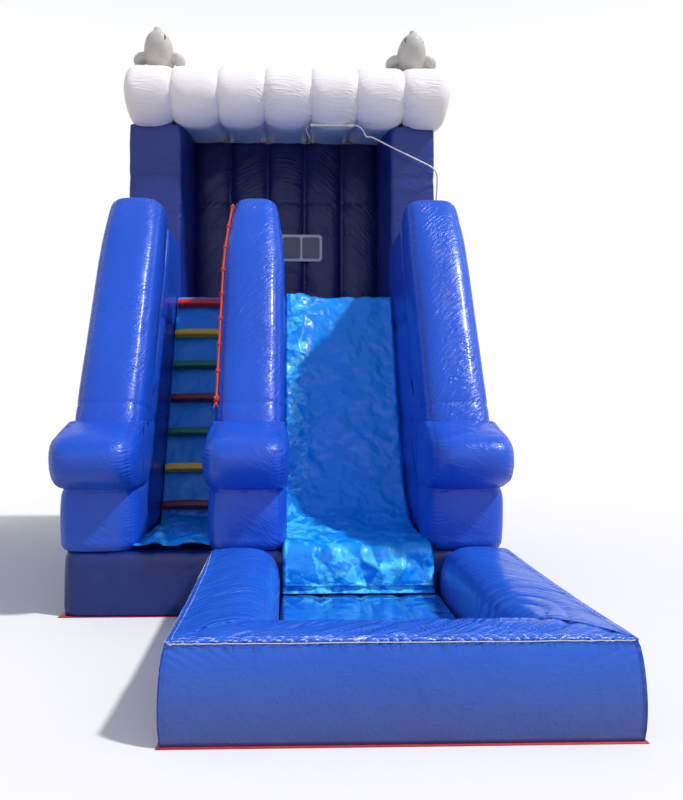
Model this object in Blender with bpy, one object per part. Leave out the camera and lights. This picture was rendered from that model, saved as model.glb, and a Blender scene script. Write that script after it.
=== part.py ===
# Inflatable water slide: an air-filled tower with a stair lane and a slide lane
# side by side, a lobed roof with two dolphins, and a splash pool in front.
# Metres, +Z up, +Y towards the back, origin on the ground under the middle of the base.

import math

import bmesh
import bpy
from mathutils import Vector

for old in list(bpy.data.objects):
    bpy.data.objects.remove(old, do_unlink=True)

# Clearances
GAP = 0.0003
WELD = 0.00001

# Base mattress and the sheets under it
BASE_WIDTH = 4.0
BASE_DEPTH = 5.3
BASE_TOP = 0.58
BASE_CORNER = 0.05
BASE_CROWN = 0.03
SHEET = 0.006
SHEET_HEM = 0.006

# Walls beside the lanes
WALL = 0.64
WALL_CROWN = 0.03
WALL_CORNER = 0.09
WALL_DIP = 0.03
DIVIDER_X = -0.335

# Posts at the front of the three walls
POST_TOP = 1.75
POST_SEAM = 1.13
POST_FOOT_WIDTH = 0.70
POST_FOOT_SETBACK = 0.004
POST_DEPTH = 0.80
POST_BULB_WIDTH = 0.80
POST_BULB_PROUD = 0.34
POST_CORNER = 0.08
POST_SEAM_DIP = 0.030

# Sloping rail tubes on the walls
RAIL_ANGLE = math.radians(61.4)
RAIL_FOOT = 0.733
RAIL_LENGTH = 2.80
RAIL_WIDTH = 0.68
RAIL_TAPER = 1.10
DIVIDER_RAIL_TOP_WIDTH = 0.50
SIDE_RAIL_TOP_WIDTH = 0.61
RAIL_TOP_FALL = 0.13
RAIL_CAP = 0.04
RAIL_SEAM_DIP = 0.02

# Ramps and platform
PLATFORM_TOP = 3.28
PLATFORM_EDGE = 2.95
RAMP_ANGLE = math.radians(64.7)
RAMP_FILLET = 1.20

# Tower: side walls and back wall
TOWER_FRONT = 3.45
TOWER_TOP = 6.08
TOWER_CHANNEL = 1.05
COLUMN_WIDTH = 0.69
COLUMN_DEPTH = 0.70
BACK_WALL = 0.55
BACK_WALL_RIBS = 5
BACK_WALL_RIB_DEPTH = 0.06
BACK_WALL_SEAMS = (4.55, 5.00)

# Roof
ROOF_WIDTH = 4.24
ROOF_FRONT = 3.10
ROOF_NOSE_RADIUS = 0.405
ROOF_TOP = 6.45
ROOF_REAR_BOTTOM = 5.88
ROOF_REAR_OVERHANG = 0.12
ROOF_LOBES = 7
ROOF_FRONT_SCALLOP = 0.08
ROOF_REAR_SCALLOP = 0.095
ROOF_NOSE_TURNS = (15, 42)

# Dolphins on the roof
DOLPHIN_X = 1.70
DOLPHIN_GIRTH = 0.195
DOLPHIN_HEIGHT = 0.565
DOLPHIN_SEAT = 0.035
DOLPHIN_REACH = 0.98
FLIPPER_LENGTH = 0.23
FLIPPER_CHORD = 0.13
FLIPPER_THICKNESS = 0.10
FLUKE_SPAN = 0.46
FLUKE_CHORD = 0.14
FLUKE_THICKNESS = 0.045

# Stairs
STEPS = 7
STEP_RISE = 0.398
STEP_TOP = 3.205
STEP_REACH = 0.13
STEP_THICKNESS = 0.085
STEP_SIDE_GAP = 0.012
STEP_BOW = 0.012

# Sheets laid in the lanes
MAT = 0.006
MAT_SIDE_GAP = 0.008
MAT_ON_PLATFORM = 0.40
LINER_DROP = 0.33
LINER_EDGE_RADIUS = 0.07
FLAP_BACK = 0.03

# Splash pool
POOL_WIDTH = 2.69
POOL_PROUD = 0.03
POOL_LENGTH = 2.88
POOL_TUBE = 0.64
POOL_EDGE_HEIGHT = 0.555
POOL_TOP = 0.60
POOL_REAR_TOP = 0.65
POOL_BULGE = 0.014
POOL_FLOOR = 0.22
POOL_FLOOR_CHANNELS = 4
POOL_FLOOR_DIP = 0.03

# Hand rope on the divider
ROPE = 0.028
ROPE_HOLDERS = 9
ROPE_START = 0.11
ROPE_PITCH = 0.3165
ROPE_SAG = 0.012
ROPE_HOLDER = 0.050

# Sign plate on the back wall
SIGN_WIDTH = 0.62
SIGN_HEIGHT = 0.40
SIGN_THICKNESS = 0.004
SIGN_CORNER = 0.05
SIGN_X = 0.228
SIGN_Z = 4.30

# Spray pipe, its hose and the hose coupling
PIPE_DIAMETER = 0.034
PIPE_LENGTH = 0.57
PIPE_X = 0.33
PIPE_UNDER_ANGLE = math.radians(70)
PIPE_FITTING = 0.046
PIPE_FITTING_LENGTH = 0.06
HOSE = 0.020
HOSE_POINT_PITCH = 0.096
FERRULE = 0.027
FERRULE_LENGTH = 0.032
NECK = 0.018
FLANGE = 0.025
FLANGE_THICKNESS = 0.003
NUT = 0.036
NUT_LENGTH = 0.024
NUT_BACK = 0.005
NUT_BORE = 0.0265
NUT_CLEARANCE = 0.0006

# Tie-down rings in their webbing loops, on the sides of the base
ANCHOR_PLACES = (0.90, 4.40)
ANCHOR_HEIGHT = 0.20
WEBBING = 0.004
WEBBING_WIDTH = 0.050
WEBBING_TAIL = 0.130
RING_WIRE = 0.008
RING_WIDTH = 0.070
RING_DROP = 0.060
RING_CLEARANCE = 0.0008

# Air inlet sleeve and its tie strap
SLEEVE_X = 1.20
SLEEVE = 0.30
SLEEVE_WALL = 0.004
SLEEVE_LENGTH = 0.60
SLEEVE_GROUND_GAP = 0.010
STRAP_WIDTH = 0.040
STRAP_THICKNESS = 0.003
STRAP_FROM_MOUTH = 0.12

# Deflation zip under its flap
ZIP_X = -1.05
ZIP_Z = 0.29
ZIP_LENGTH = 0.64
ZIP_HEIGHT = 0.09
ZIP_TAPE = 0.003
ZIP_HEM = 0.020
ZIP_STANDOFF = 0.014
FLAP_LENGTH = 0.70
FLAP_HEIGHT = 0.13
FLAP_THICKNESS = 0.002
SLIDER_LENGTH = 0.032
SLIDER_HEIGHT = 0.014
SLIDER_THICKNESS = 0.008
SLIDER_INSET = 0.03

# Places worked out from the sizes above
FRONT_Y = -BASE_DEPTH / 2
REAR_Y = BASE_DEPTH / 2
SIDE_X = BASE_WIDTH / 2
LANE_X = SIDE_X - WALL
FLOOR_Z = SHEET + GAP
DECK_Z = BASE_TOP + GAP
POOL_FRONT_Y = FRONT_Y - POOL_LENGTH
POOL_RIGHT_X = SIDE_X + POOL_PROUD
POOL_LEFT_X = POOL_RIGHT_X - POOL_WIDTH
TOWER_FRONT_Y = FRONT_Y + TOWER_FRONT
BACK_WALL_Y = REAR_Y - BACK_WALL
EDGE_Y = FRONT_Y + PLATFORM_EDGE
RAIL_RADIUS = RAIL_WIDTH / 2


# Paints

def paint(name, colour, roughness, metallic=0.0):
    made = bpy.data.materials.new(name)
    made.use_nodes = True
    shader = made.node_tree.nodes["Principled BSDF"]
    shader.inputs["Base Color"].default_value = (*colour, 1.0)
    shader.inputs["Roughness"].default_value = roughness
    shader.inputs["Metallic"].default_value = metallic
    return made


BLUE = paint("royal_blue_vinyl", (0.018, 0.07, 0.55), 0.32)
NAVY = paint("navy_vinyl", (0.012, 0.018, 0.10), 0.38)
WHITE = paint("white_vinyl", (0.83, 0.82, 0.86), 0.42)
GREY = paint("grey_vinyl", (0.42, 0.40, 0.38), 0.45)
AQUA = paint("aqua_sheet", (0.01, 0.21, 0.62), 0.28)
RED_SHEET = paint("red_sheet", (0.55, 0.03, 0.03), 0.5)
WET_BLUE = paint("pool_floor_blue", (0.012, 0.055, 0.34), 0.08)
ROPE_RED = paint("coral_rope", (0.62, 0.08, 0.05), 0.7)
SIGN_GREY = paint("sign_grey", (0.55, 0.56, 0.6), 0.5)
PIPE_WHITE = paint("pipe_white", (0.72, 0.72, 0.7), 0.4)
HOSE_WHITE = paint("hose_white", (0.74, 0.74, 0.72), 0.4)
COUPLING = paint("coupling_plastic", (0.75, 0.28, 0.03), 0.4)
WEB_BLACK = paint("black_webbing", (0.02, 0.02, 0.022), 0.8)
STEEL = paint("galvanised_steel", (0.6, 0.6, 0.62), 0.3, 1.0)
TREAD_PAINTS = {
    "red": paint("tread_red", (0.55, 0.03, 0.03), 0.5),
    "yellow": paint("tread_yellow", (0.75, 0.42, 0.02), 0.5),
    "green": paint("tread_green", (0.02, 0.16, 0.10), 0.5),
    "maroon": paint("tread_maroon", (0.12, 0.01, 0.04), 0.5),
}


# Building blocks

def finish(name, bm, colour, origin=Vector()):
    """Makes the object of a closed mesh; its own origin is put at the given place."""
    bmesh.ops.remove_doubles(bm, verts=bm.verts, dist=WELD)
    bmesh.ops.triangulate(bm, faces=bm.faces, quad_method="FIXED")
    bmesh.ops.recalc_face_normals(bm, faces=bm.faces)
    bmesh.ops.translate(bm, verts=bm.verts, vec=-Vector(origin))
    mesh = bpy.data.meshes.new(name)
    bm.to_mesh(mesh)
    bm.free()
    mesh.materials.append(colour)
    mesh.shade_smooth()
    mesh.set_sharp_from_angle(angle=math.radians(42))
    made = bpy.data.objects.new(name, mesh)
    made.location = origin
    bpy.context.scene.collection.objects.link(made)
    return made


def loft_mesh(rings, closed=False):
    """A skin over rings of points, capped at both ends, or closed on itself."""
    bm = bmesh.new()
    rows = [[bm.verts.new(point) for point in ring] for ring in rings]
    pairs = list(zip(rows, rows[1:]))
    if closed:
        pairs.append((rows[-1], rows[0]))
    for near, far in pairs:
        for i, corner in enumerate(near):
            j = (i + 1) % len(near)
            bm.faces.new((corner, near[j], far[j], far[i]))
    if not closed:
        bm.faces.new(rows[0])
        bm.faces.new(rows[-1])
    return bm


def loft(name, rings, colour, origin=Vector(), closed=False):
    return finish(name, loft_mesh(rings, closed), colour, origin)


def plan_ring(x_low, x_high, y_low, y_high, z, corner, crown):
    """A level outline whose sides swell by the crown between rounded corners."""
    middle = Vector(((x_low + x_high) / 2, (y_low + y_high) / 2, z))
    half_x = (x_high - x_low) / 2
    half_y = (y_high - y_low) / 2
    run_x = half_x - crown - corner
    run_y = half_y - crown - corner
    turn_share = 0.29
    quarter = [(half_x, 0.0), (half_x - crown, run_y)]
    quarter.append((half_x - crown - corner * turn_share, half_y - crown - corner * turn_share))
    quarter.append((run_x, half_y - crown))
    outline = []
    for sx, sy, turned_over in ((1, 1, False), (-1, 1, True), (-1, -1, False), (1, -1, True)):
        part = [(sx * x, sy * y) for x, y in quarter]
        if turned_over:
            part = [(sx * x, sy * y) for x, y in [(0.0, half_y)] + quarter[:0:-1]]
        outline += part
    return [middle + Vector((x, y, 0.0)) for x, y in outline]


def stack(name, levels, colour, corner=WALL_CORNER, crown=WALL_CROWN):
    """An upright air cell: levels hold (z, x low, x high, y low, y high)."""
    rings = [plan_ring(*level[1:], level[0], corner, crown) for level in levels]
    return loft(name, rings, colour)


def prism(name, outline, x_low, x_high, colour):
    """A side view outline of (y, z) points, carried from one x to the other."""
    rings = [[Vector((x, y, z)) for y, z in outline] for x in (x_low, x_high)]
    return loft(name, rings, colour)


def turned(name, start, along, section, sides, colour, origin=Vector(), ring=False, twist=0.0):
    """Turns a section of (way along, radius) points about a line."""
    along = Vector(along).normalized()
    across = along.orthogonal().normalized()
    rows = []
    for way, radius in section:
        row = []
        for i in range(sides):
            angle = 2 * math.pi * i / sides + twist
            out = across * math.cos(angle) + along.cross(across) * math.sin(angle)
            row.append(Vector(start) + along * way + out * radius)
        rows.append(row)
    return loft(name, rows, colour, origin, ring)


def cut(target, cutter):
    trim = target.modifiers.new("cut by " + cutter.name, "BOOLEAN")
    trim.operation = "DIFFERENCE"
    trim.object = cutter
    trim.solver = "EXACT"


def as_cutter(made):
    made.hide_render = True
    made.display_type = "WIRE"
    return made


def channel_heights(low, high, pitch):
    """Levels of a wall with sewn channels: (height, share of the seam's dip)."""
    count = max(1, round((high - low) / pitch))
    step = (high - low) / count
    near_share = 0.22
    levels = [(low, 1.0)]
    for i in range(count):
        levels.append((low + step * (i + near_share), near_share))
        levels.append((low + step * (i + 1 - near_share), near_share))
        levels.append((low + step * (i + 1), 1.0))
    return levels


# Base mattress and ground sheets

# shares of the base's height, and of its crown by which it draws in there
BASE_PROFILE_SHARES = (
    (0.0, 1.0), (0.10, 0.45), (0.30, 0.08), (0.50, 0.0), (0.72, 0.08), (0.92, 0.50), (1.0, 1.15),
)


def base_profile():
    """From the ground up: (height, how far the sides draw in)."""
    rise = BASE_TOP - FLOOR_Z
    return [(FLOOR_Z + rise * up, BASE_CROWN * draw) for up, draw in BASE_PROFILE_SHARES]


def make_base():
    levels = []
    for z, inset in base_profile():
        levels.append((z, inset - SIDE_X, SIDE_X - inset, FRONT_Y + inset, REAR_Y - inset))
    stack("base_chamber", levels, BLUE, BASE_CORNER, 0.0)
    reach = SIDE_X + SHEET_HEM
    sheet = [
        (FRONT_Y - GAP, 0.0), (REAR_Y + SHEET_HEM, 0.0), (REAR_Y + SHEET_HEM, SHEET),
        (FRONT_Y - GAP, SHEET),
    ]
    prism("base_ground_sheet", sheet, -reach, reach, RED_SHEET)
    front = POOL_FRONT_Y - SHEET_HEM
    back = FRONT_Y - 2 * GAP
    sheet = [(front, 0.0), (back, 0.0), (back, SHEET), (front, SHEET)]
    prism("pool_ground_sheet", sheet, POOL_LEFT_X - SHEET_HEM, POOL_RIGHT_X + SHEET_HEM, RED_SHEET)


# Posts, walls and rails

def rail_rear_y(z):
    """Where the rear line of the sloping rails stands at a height."""
    return FRONT_Y + RAIL_FOOT + (z - POST_TOP) / math.tan(RAIL_ANGLE) + RAIL_RADIUS / math.sin(RAIL_ANGLE)


def make_post(name, wall_x):
    """A foot on the base, and over it a bulb that swells forward past the foot."""
    foot_rise = POST_SEAM - DECK_Z
    bulb_rise = POST_TOP - POST_SEAM
    back_y = FRONT_Y + POST_DEPTH
    foot_front = FRONT_Y + POST_FOOT_SETBACK
    # shares of the foot and of the bulb: (up, draw in at the sides, swell forward)
    foot_shares = ((0.0, 1.0, 0.0), (0.14, 0.35, 0.0), (0.50, -0.3, 0.0), (0.86, 0.2, 0.0), (1.0, 0.7, 0.0))
    bulb_shares = (
        (0.12, 0.3, 0.42),
        (0.30, 0.05, 0.82),
        (0.54, 0.0, 1.0),
        (0.74, 0.35, 0.93),
        (0.90, 1.5, 0.66),
        (1.0, 3.2, 0.16),
    )
    rings = []
    for width, low, rise, shares in (
        (POST_FOOT_WIDTH, DECK_Z, foot_rise, foot_shares),
        (POST_BULB_WIDTH, POST_SEAM, bulb_rise, bulb_shares),
    ):
        for up, draw, swell in shares:
            inset = POST_SEAM_DIP * draw
            half = width / 2 - inset
            front = foot_front - POST_BULB_PROUD * swell
            z = low + rise * up
            rings.append(plan_ring(wall_x - half, wall_x + half, front, back_y, z, POST_CORNER, WALL_CROWN))
    loft(name, rings, BLUE)


def make_wall(name, wall_x, back_y):
    """The upright panel behind a post and under a rail, with level sewn channels."""
    rail_end_z = POST_TOP + RAIL_LENGTH * math.sin(RAIL_ANGLE) - RAIL_RADIUS * math.cos(RAIL_ANGLE)
    post_back = FRONT_Y + POST_DEPTH + GAP
    levels = []
    for z, draw in channel_heights(DECK_Z, POST_TOP, TOWER_CHANNEL / 2):
        inset = WALL_DIP * draw
        left, right = wall_x - WALL / 2 + inset, wall_x + WALL / 2 - inset
        levels.append((z, left, right, post_back + inset, back_y - inset))
    for z, draw in channel_heights(POST_TOP, rail_end_z, TOWER_CHANNEL):
        inset = WALL_DIP * draw
        front = rail_rear_y(z) + 2 * GAP
        levels.append((z, wall_x - WALL / 2 + inset, wall_x + WALL / 2 - inset, front, back_y - inset))
    stack(name, levels, BLUE)


def rail_ring(wall_x, way, width, front_fall, square_share=1.0):
    """A rounded square across the rail: level at a share of 0, square to the rail at 1."""
    count = 16
    power_share = 0.62
    along = Vector((0.0, math.cos(RAIL_ANGLE), math.sin(RAIL_ANGLE)))
    up = Vector((0.0, -math.sin(RAIL_ANGLE), math.cos(RAIL_ANGLE)))
    middle = Vector((wall_x, FRONT_Y + RAIL_FOOT, POST_TOP)) + along * way
    tilt = (math.pi / 2 - RAIL_ANGLE) * square_share
    facing = Vector((0.0, math.sin(tilt), math.cos(tilt)))
    half_up = RAIL_RADIUS - front_fall / 2
    ring = []
    for i in range(count):
        angle = 2 * math.pi * i / count
        c, s = math.cos(angle), math.sin(angle)
        x = math.copysign(abs(c) ** power_share, c) * width / 2
        rise = math.copysign(abs(s) ** power_share, s) * half_up - front_fall / 2
        point = middle + up * rise + Vector((x, 0.0, 0.0))
        ring.append(point + along * ((middle - point).dot(facing) / along.dot(facing)))
    return ring


def make_rail(name, wall_x, top_width):
    """A tube with one sewn seam just above its post, narrowing to a blunt upper end."""
    dip = RAIL_SEAM_DIP
    straight = RAIL_LENGTH - RAIL_TAPER
    cap = RAIL_CAP
    taper_power = 1.6
    taper_shares = (0.35, 0.65, 0.88, 1.0)
    # shares of the rail's radius up the tube, how square the ring is, and how far it is drawn in
    foot_shares = ((0.0, 0.0, 1.0), (0.12, 0.15, 0.0), (0.37, 0.55, 1.0), (0.62, 0.85, 0.0), (1.6, 1.0, 0.0))
    rings = []
    for way, square, seam in foot_shares:
        drawn = dip * seam
        rings.append(rail_ring(wall_x, RAIL_RADIUS * way + GAP, RAIL_WIDTH - 2 * drawn, drawn, square))
    rings.append(rail_ring(wall_x, straight, RAIL_WIDTH, 0.0))
    for share in taper_shares:
        width = RAIL_WIDTH + (top_width - RAIL_WIDTH) * share ** taper_power
        along = straight + RAIL_TAPER * share - cap
        rings.append(rail_ring(wall_x, along, width, RAIL_TOP_FALL * share ** 2))
    rings.append(rail_ring(wall_x, RAIL_LENGTH, top_width - 3 * cap, RAIL_TOP_FALL + 2 * cap))
    loft(name, rings, BLUE)


# Ramps, platform and the sheets on them

def ramp_line(z):
    """Where the ramps' sloping face stands at a height."""
    return EDGE_Y - (PLATFORM_TOP - z) / math.tan(RAMP_ANGLE)


def slide_path():
    """The slide's surface from the platform edge down to the front of the base."""
    tangent = RAMP_FILLET * math.tan(RAMP_ANGLE / 2)
    corner_y = ramp_line(DECK_Z)
    centre = (corner_y - tangent, DECK_Z + RAMP_FILLET)
    path = [(EDGE_Y, PLATFORM_TOP)]
    steps = 7
    for i in range(steps + 1):
        angle = RAMP_ANGLE * (1 - i / steps)
        path.append((centre[0] + RAMP_FILLET * math.sin(angle), centre[1] - RAMP_FILLET * math.cos(angle)))
    return path


def make_ramps():
    slide = slide_path()
    slide_left = DIVIDER_X + WALL / 2 + GAP
    back = EDGE_Y - GAP
    toe_share = 0.985
    outline = [(back, DECK_Z), (back, PLATFORM_TOP - GAP)] + slide[1:-1]
    toe_y = slide[-2][0] * toe_share + slide[-1][0] * (1 - toe_share)
    outline.append((toe_y, DECK_Z))
    prism("slide_ramp", outline, slide_left, LANE_X - GAP, AQUA)
    stair = [
        (back, DECK_Z), (back, PLATFORM_TOP - GAP),
        (ramp_line(PLATFORM_TOP - GAP) - GAP, PLATFORM_TOP - GAP),
    ]
    stair.append((ramp_line(DECK_Z), DECK_Z))
    prism("stair_ramp", stair, GAP - LANE_X, DIVIDER_X - WALL / 2 - GAP, AQUA)
    box = [
        (EDGE_Y, DECK_Z), (BACK_WALL_Y - GAP, DECK_Z), (BACK_WALL_Y - GAP, PLATFORM_TOP),
        (EDGE_Y, PLATFORM_TOP),
    ]
    return prism("platform_chamber", box, GAP - LANE_X, LANE_X - GAP, AQUA)


def strip(name, path, x_low, x_high, colour):
    """A sheet of the mat's thickness that lies on a (y, z) path, just clear of it."""
    lower, upper = [], []
    for i, (y, z) in enumerate(path):
        before = path[max(i - 1, 0)]
        after = path[min(i + 1, len(path) - 1)]
        run = Vector((after[0] - before[0], after[1] - before[1])).normalized()
        out = Vector((run.y, -run.x))
        lower.append((y + out.x * GAP, z + out.y * GAP))
        upper.append((y + out.x * (MAT + GAP), z + out.y * (MAT + GAP)))
    return prism(name, lower + upper[::-1], x_low, x_high, colour)


def make_lane_sheets():
    top = PLATFORM_TOP + 2 * GAP
    start = (EDGE_Y + MAT_ON_PLATFORM, top)
    shoulder = (EDGE_Y + LINER_EDGE_RADIUS, top)
    deck = DECK_Z + 2 * GAP
    path = [start, shoulder, (EDGE_Y - GAP, top), *[(y - GAP, z + 2 * GAP) for y, z in slide_path()[1:]]]
    for z, inset in reversed(base_profile()[3:]):
        path.append((FRONT_Y + inset - 3 * GAP, z + 3 * GAP))
    path.append((FRONT_Y - 3 * GAP, DECK_Z - LINER_DROP))
    strip("slide_liner", path, DIVIDER_X + WALL / 2 + MAT_SIDE_GAP, LANE_X - MAT_SIDE_GAP, AQUA)
    path = [
        start, shoulder, (EDGE_Y - 2 * GAP, top), (ramp_line(DECK_Z) - 2 * GAP, deck),
        (FRONT_Y + FLAP_BACK, deck),
    ]
    strip("stair_mat", path, MAT_SIDE_GAP - LANE_X, DIVIDER_X - WALL / 2 - MAT_SIDE_GAP, AQUA)


def make_steps():
    """Foam treads across the stair lane, a little bowed, on the sloping mat."""
    names = ("red", "yellow", "green", "maroon", "green", "yellow", "maroon")
    x_low = STEP_SIDE_GAP - LANE_X
    x_high = DIVIDER_X - WALL / 2 - STEP_SIDE_GAP
    out = Vector((0.0, -math.sin(RAMP_ANGLE), math.cos(RAMP_ANGLE)))
    up = Vector((0.0, math.cos(RAMP_ANGLE), math.sin(RAMP_ANGLE)))
    # section shares: (out of the slope, up the slope) of the tread's reach and thickness
    section_shares = (
        (0.0, 0.5), (0.0, -0.5), (0.55, -0.52), (0.90, -0.34), (1.0, 0.0), (0.92, 0.36), (0.60, 0.52),
    )
    end_shares = ((0.0, 0.80), (0.06, 0.95), (0.28, 1.0), (0.5, 1.0), (0.72, 1.0), (0.94, 0.95), (1.0, 0.80))
    for i, colour in enumerate(names[:STEPS]):
        z = STEP_TOP - STEP_RISE * i - STEP_THICKNESS / 2
        seat = Vector((0.0, ramp_line(z), z)) + out * (MAT + 4 * GAP)
        rings = []
        for way, swell in end_shares:
            bow = STEP_BOW * (1 - (2 * way - 1) ** 2)
            place = seat + Vector((x_low + (x_high - x_low) * way, 0.0, 0.0)) + up * bow
            ring = []
            for reach, rise in section_shares:
                ring.append(place + out * (STEP_REACH * reach * swell) + up * (STEP_THICKNESS * rise * swell))
            rings.append(ring)
        loft(f"step_{i + 1}", rings, TREAD_PAINTS[colour])


# Tower and roof

def tower_ring(side, z, inset, grow):
    """A level slice: a thick column at the front and a thinner wall behind it."""
    turn = WALL_CORNER
    turn_share = 0.29
    low_y, high_y = TOWER_FRONT_Y + GAP + inset - grow, REAR_Y - inset + grow
    step_y = TOWER_FRONT_Y + COLUMN_DEPTH
    outer, inner = SIDE_X - inset + grow, LANE_X + GAP - grow
    column = SIDE_X - COLUMN_WIDTH + inset - grow
    outline = [
        (outer - turn, low_y), (outer - turn * turn_share, low_y + turn * turn_share),
        (outer, low_y + turn),
    ]
    outline += [(outer + WALL_CROWN / 2, (low_y + high_y) / 2), (outer, high_y - turn)]
    outline += [(outer - turn * turn_share, high_y - turn * turn_share), (outer - turn, high_y)]
    outline += [(inner, high_y), (inner, step_y + turn), (column + turn * turn_share, step_y)]
    outline += [(column, step_y - turn), (column, low_y + turn)]
    outline += [(column + turn * turn_share, low_y + turn * turn_share), (column + turn, low_y)]
    return [Vector((side * x, y, z)) for x, y in outline]


def make_tower_wall(name, side, grow=0.0):
    levels = channel_heights(DECK_Z - grow, TOWER_TOP + grow, TOWER_CHANNEL)
    return loft(name, [tower_ring(side, z, WALL_DIP * draw, grow) for z, draw in levels], BLUE)


def make_back_wall():
    """Upright ribs on both faces, drawn in at two level seams above the platform."""
    width = 2 * (LANE_X - GAP)
    pitch = width / BACK_WALL_RIBS
    front_shares = (0.0, 0.25, 0.5, 0.75)
    low_seam, high_seam = BACK_WALL_SEAMS
    near = TOWER_CHANNEL / 8
    levels = [(DECK_Z, 1.0), (DECK_Z + near, 0.0), (low_seam - near, 0.0), (low_seam, 1.0)]
    levels += [((low_seam + high_seam) / 2, 0.0), (high_seam, 1.0), (high_seam + near, 0.0), (TOWER_TOP, 0.0)]
    rings = []
    for z, dip in levels:
        inset = WALL_DIP * dip
        ring = []
        for rib in range(BACK_WALL_RIBS):
            for share in front_shares:
                sag = BACK_WALL_RIB_DEPTH * abs(2 * share - 1) ** 2
                ring.append(Vector((pitch * (rib + share) - width / 2, BACK_WALL_Y + sag + inset, z)))
        ring.append(Vector((width / 2, BACK_WALL_Y + BACK_WALL_RIB_DEPTH + inset, z)))
        for rib in reversed(range(BACK_WALL_RIBS)):
            for share in reversed(front_shares):
                sag = BACK_WALL_RIB_DEPTH * abs(2 * share - 1) ** 2
                if rib == BACK_WALL_RIBS - 1 and share == front_shares[-1]:
                    ring.append(Vector((width / 2, REAR_Y - BACK_WALL_RIB_DEPTH - inset, z)))
                ring.append(Vector((pitch * (rib + share) - width / 2, REAR_Y - sag - inset, z)))
        rings.append(ring)
    return loft("back_wall", rings, NAVY)


def roof_ring(y, bottom, top, scallop_top, scallop_bottom, grow):
    """A slice of the roof across its lobes; the ends round off."""
    half = ROOF_WIDTH / 2
    pitch = ROOF_WIDTH / ROOF_LOBES
    middle = (bottom + top) / 2
    thickness = (top - bottom) / 2
    lobe_shares = (0.0, 0.14, 0.5, 0.86)
    valley_power = 3
    end_power = 5
    ways = [pitch * (lobe + share) - half for lobe in range(ROOF_LOBES) for share in lobe_shares][1:]
    end_share = 0.035
    ways = [-half + pitch * end_share] + ways + [half - pitch * end_share]
    over, under = [], []
    for x in ways:
        within = ((x + half) / pitch) % 1
        valley = abs(2 * within - 1) ** valley_power
        round_off = max(0.0, 1 - abs(x / half) ** end_power) ** (1 / end_power)
        over.append(Vector((x, y, middle + (thickness - scallop_top * valley) * round_off + grow)))
        under.append(Vector((x, y, middle - (thickness - scallop_bottom * valley) * round_off - grow)))
    left = Vector((-half - grow, y, middle))
    right = Vector((half + grow, y, middle))
    return [left] + under + [right] + over[::-1]


def roof_rings(grow):
    """A round roll along the front edge that thins towards the back."""
    radius = ROOF_NOSE_RADIUS
    centre_y = FRONT_Y + ROOF_FRONT + radius
    centre_z = ROOF_TOP - radius
    rear_y = REAR_Y + ROOF_REAR_OVERHANG
    rings = []
    for angle in (*[math.radians(degrees) for degrees in ROOF_NOSE_TURNS], PIPE_UNDER_ANGLE, math.pi / 2):
        reach = radius * math.sin(angle)
        scallop = ROOF_FRONT_SCALLOP * math.sin(angle)
        y = centre_y - radius * math.cos(angle) - grow * math.cos(angle)
        rings.append(roof_ring(y, centre_z - reach, centre_z + reach, scallop, scallop, grow))
    nose_bottom = ROOF_TOP - 2 * radius
    # shares: way back, how far the underside has risen, how far the lobes have deepened
    back_shares = ((0.22, 0.36, 0.45), (0.45, 0.74, 0.80), (0.70, 1.0, 1.0), (0.93, 1.0, 1.0))
    run = rear_y - centre_y
    for way, rise, deepen in back_shares:
        bottom = nose_bottom + (ROOF_REAR_BOTTOM - nose_bottom) * rise
        scallop = ROOF_FRONT_SCALLOP + (ROOF_REAR_SCALLOP - ROOF_FRONT_SCALLOP) * deepen
        rings.append(roof_ring(centre_y + run * way, bottom, ROOF_TOP, ROOF_FRONT_SCALLOP, scallop, grow))
    end_draw = (ROOF_TOP - ROOF_REAR_BOTTOM) / 4
    bottom = ROOF_REAR_BOTTOM + end_draw
    top = ROOF_TOP - end_draw
    rings.append(roof_ring(rear_y + grow, bottom, top, ROOF_FRONT_SCALLOP / 2, ROOF_REAR_SCALLOP / 2, grow))
    return rings


# Dolphins

def dolphin_ring(x, y, z, slope, half_width, half_height):
    count = 12
    along = Vector((0.0, math.cos(slope), math.sin(slope)))
    up = Vector((0.0, -along.z, along.y))
    ring = []
    for i in range(count):
        angle = 2 * math.pi * i / count
        ring.append(
            Vector((x, y, z))
            + Vector((math.cos(angle) * half_width, 0.0, 0.0))
            + up * (math.sin(angle) * half_height)
        )
    return ring


def dolphin_body(name, x, grow):
    """A body bent like a sea lion's: chest up, beak to the sky, tail along the roof."""
    # shares of the reach back, of the height above the roof, and of the girth (across, deep)
    spine_shares = (
        (0.000, 1.00, 0.20, 0.18),
        (0.010, 0.93, 0.28, 0.26),
        (0.022, 0.88, 0.46, 0.42),
        (0.045, 0.79, 0.68, 0.64),
        (0.090, 0.66, 0.88, 0.86),
        (0.170, 0.47, 1.00, 1.00),
        (0.310, 0.31, 0.95, 0.96),
        (0.480, 0.21, 0.78, 0.82),
        (0.660, 0.185, 0.53, 0.58),
        (0.830, 0.18, 0.33, 0.40),
        (0.970, 0.19, 0.20, 0.26),
    )
    chest_share = 0.72
    nose_y = FRONT_Y + ROOF_FRONT + ROOF_NOSE_RADIUS * chest_share
    seat_z = ROOF_TOP - DOLPHIN_SEAT
    places = [
        (nose_y + DOLPHIN_REACH * back, seat_z + DOLPHIN_HEIGHT * up)
        for back, up, _, _ in spine_shares
    ]
    rings = []
    for i, (y, z) in enumerate(places):
        before = places[max(i - 1, 0)]
        after = places[min(i + 1, len(places) - 1)]
        slope = math.atan2(after[1] - before[1], after[0] - before[0])
        wide, deep = spine_shares[i][2:]
        rings.append(dolphin_ring(x, y, z, slope, DOLPHIN_GIRTH * wide + grow, DOLPHIN_GIRTH * deep + grow))
    return loft(name, rings, GREY), places[-1]


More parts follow.
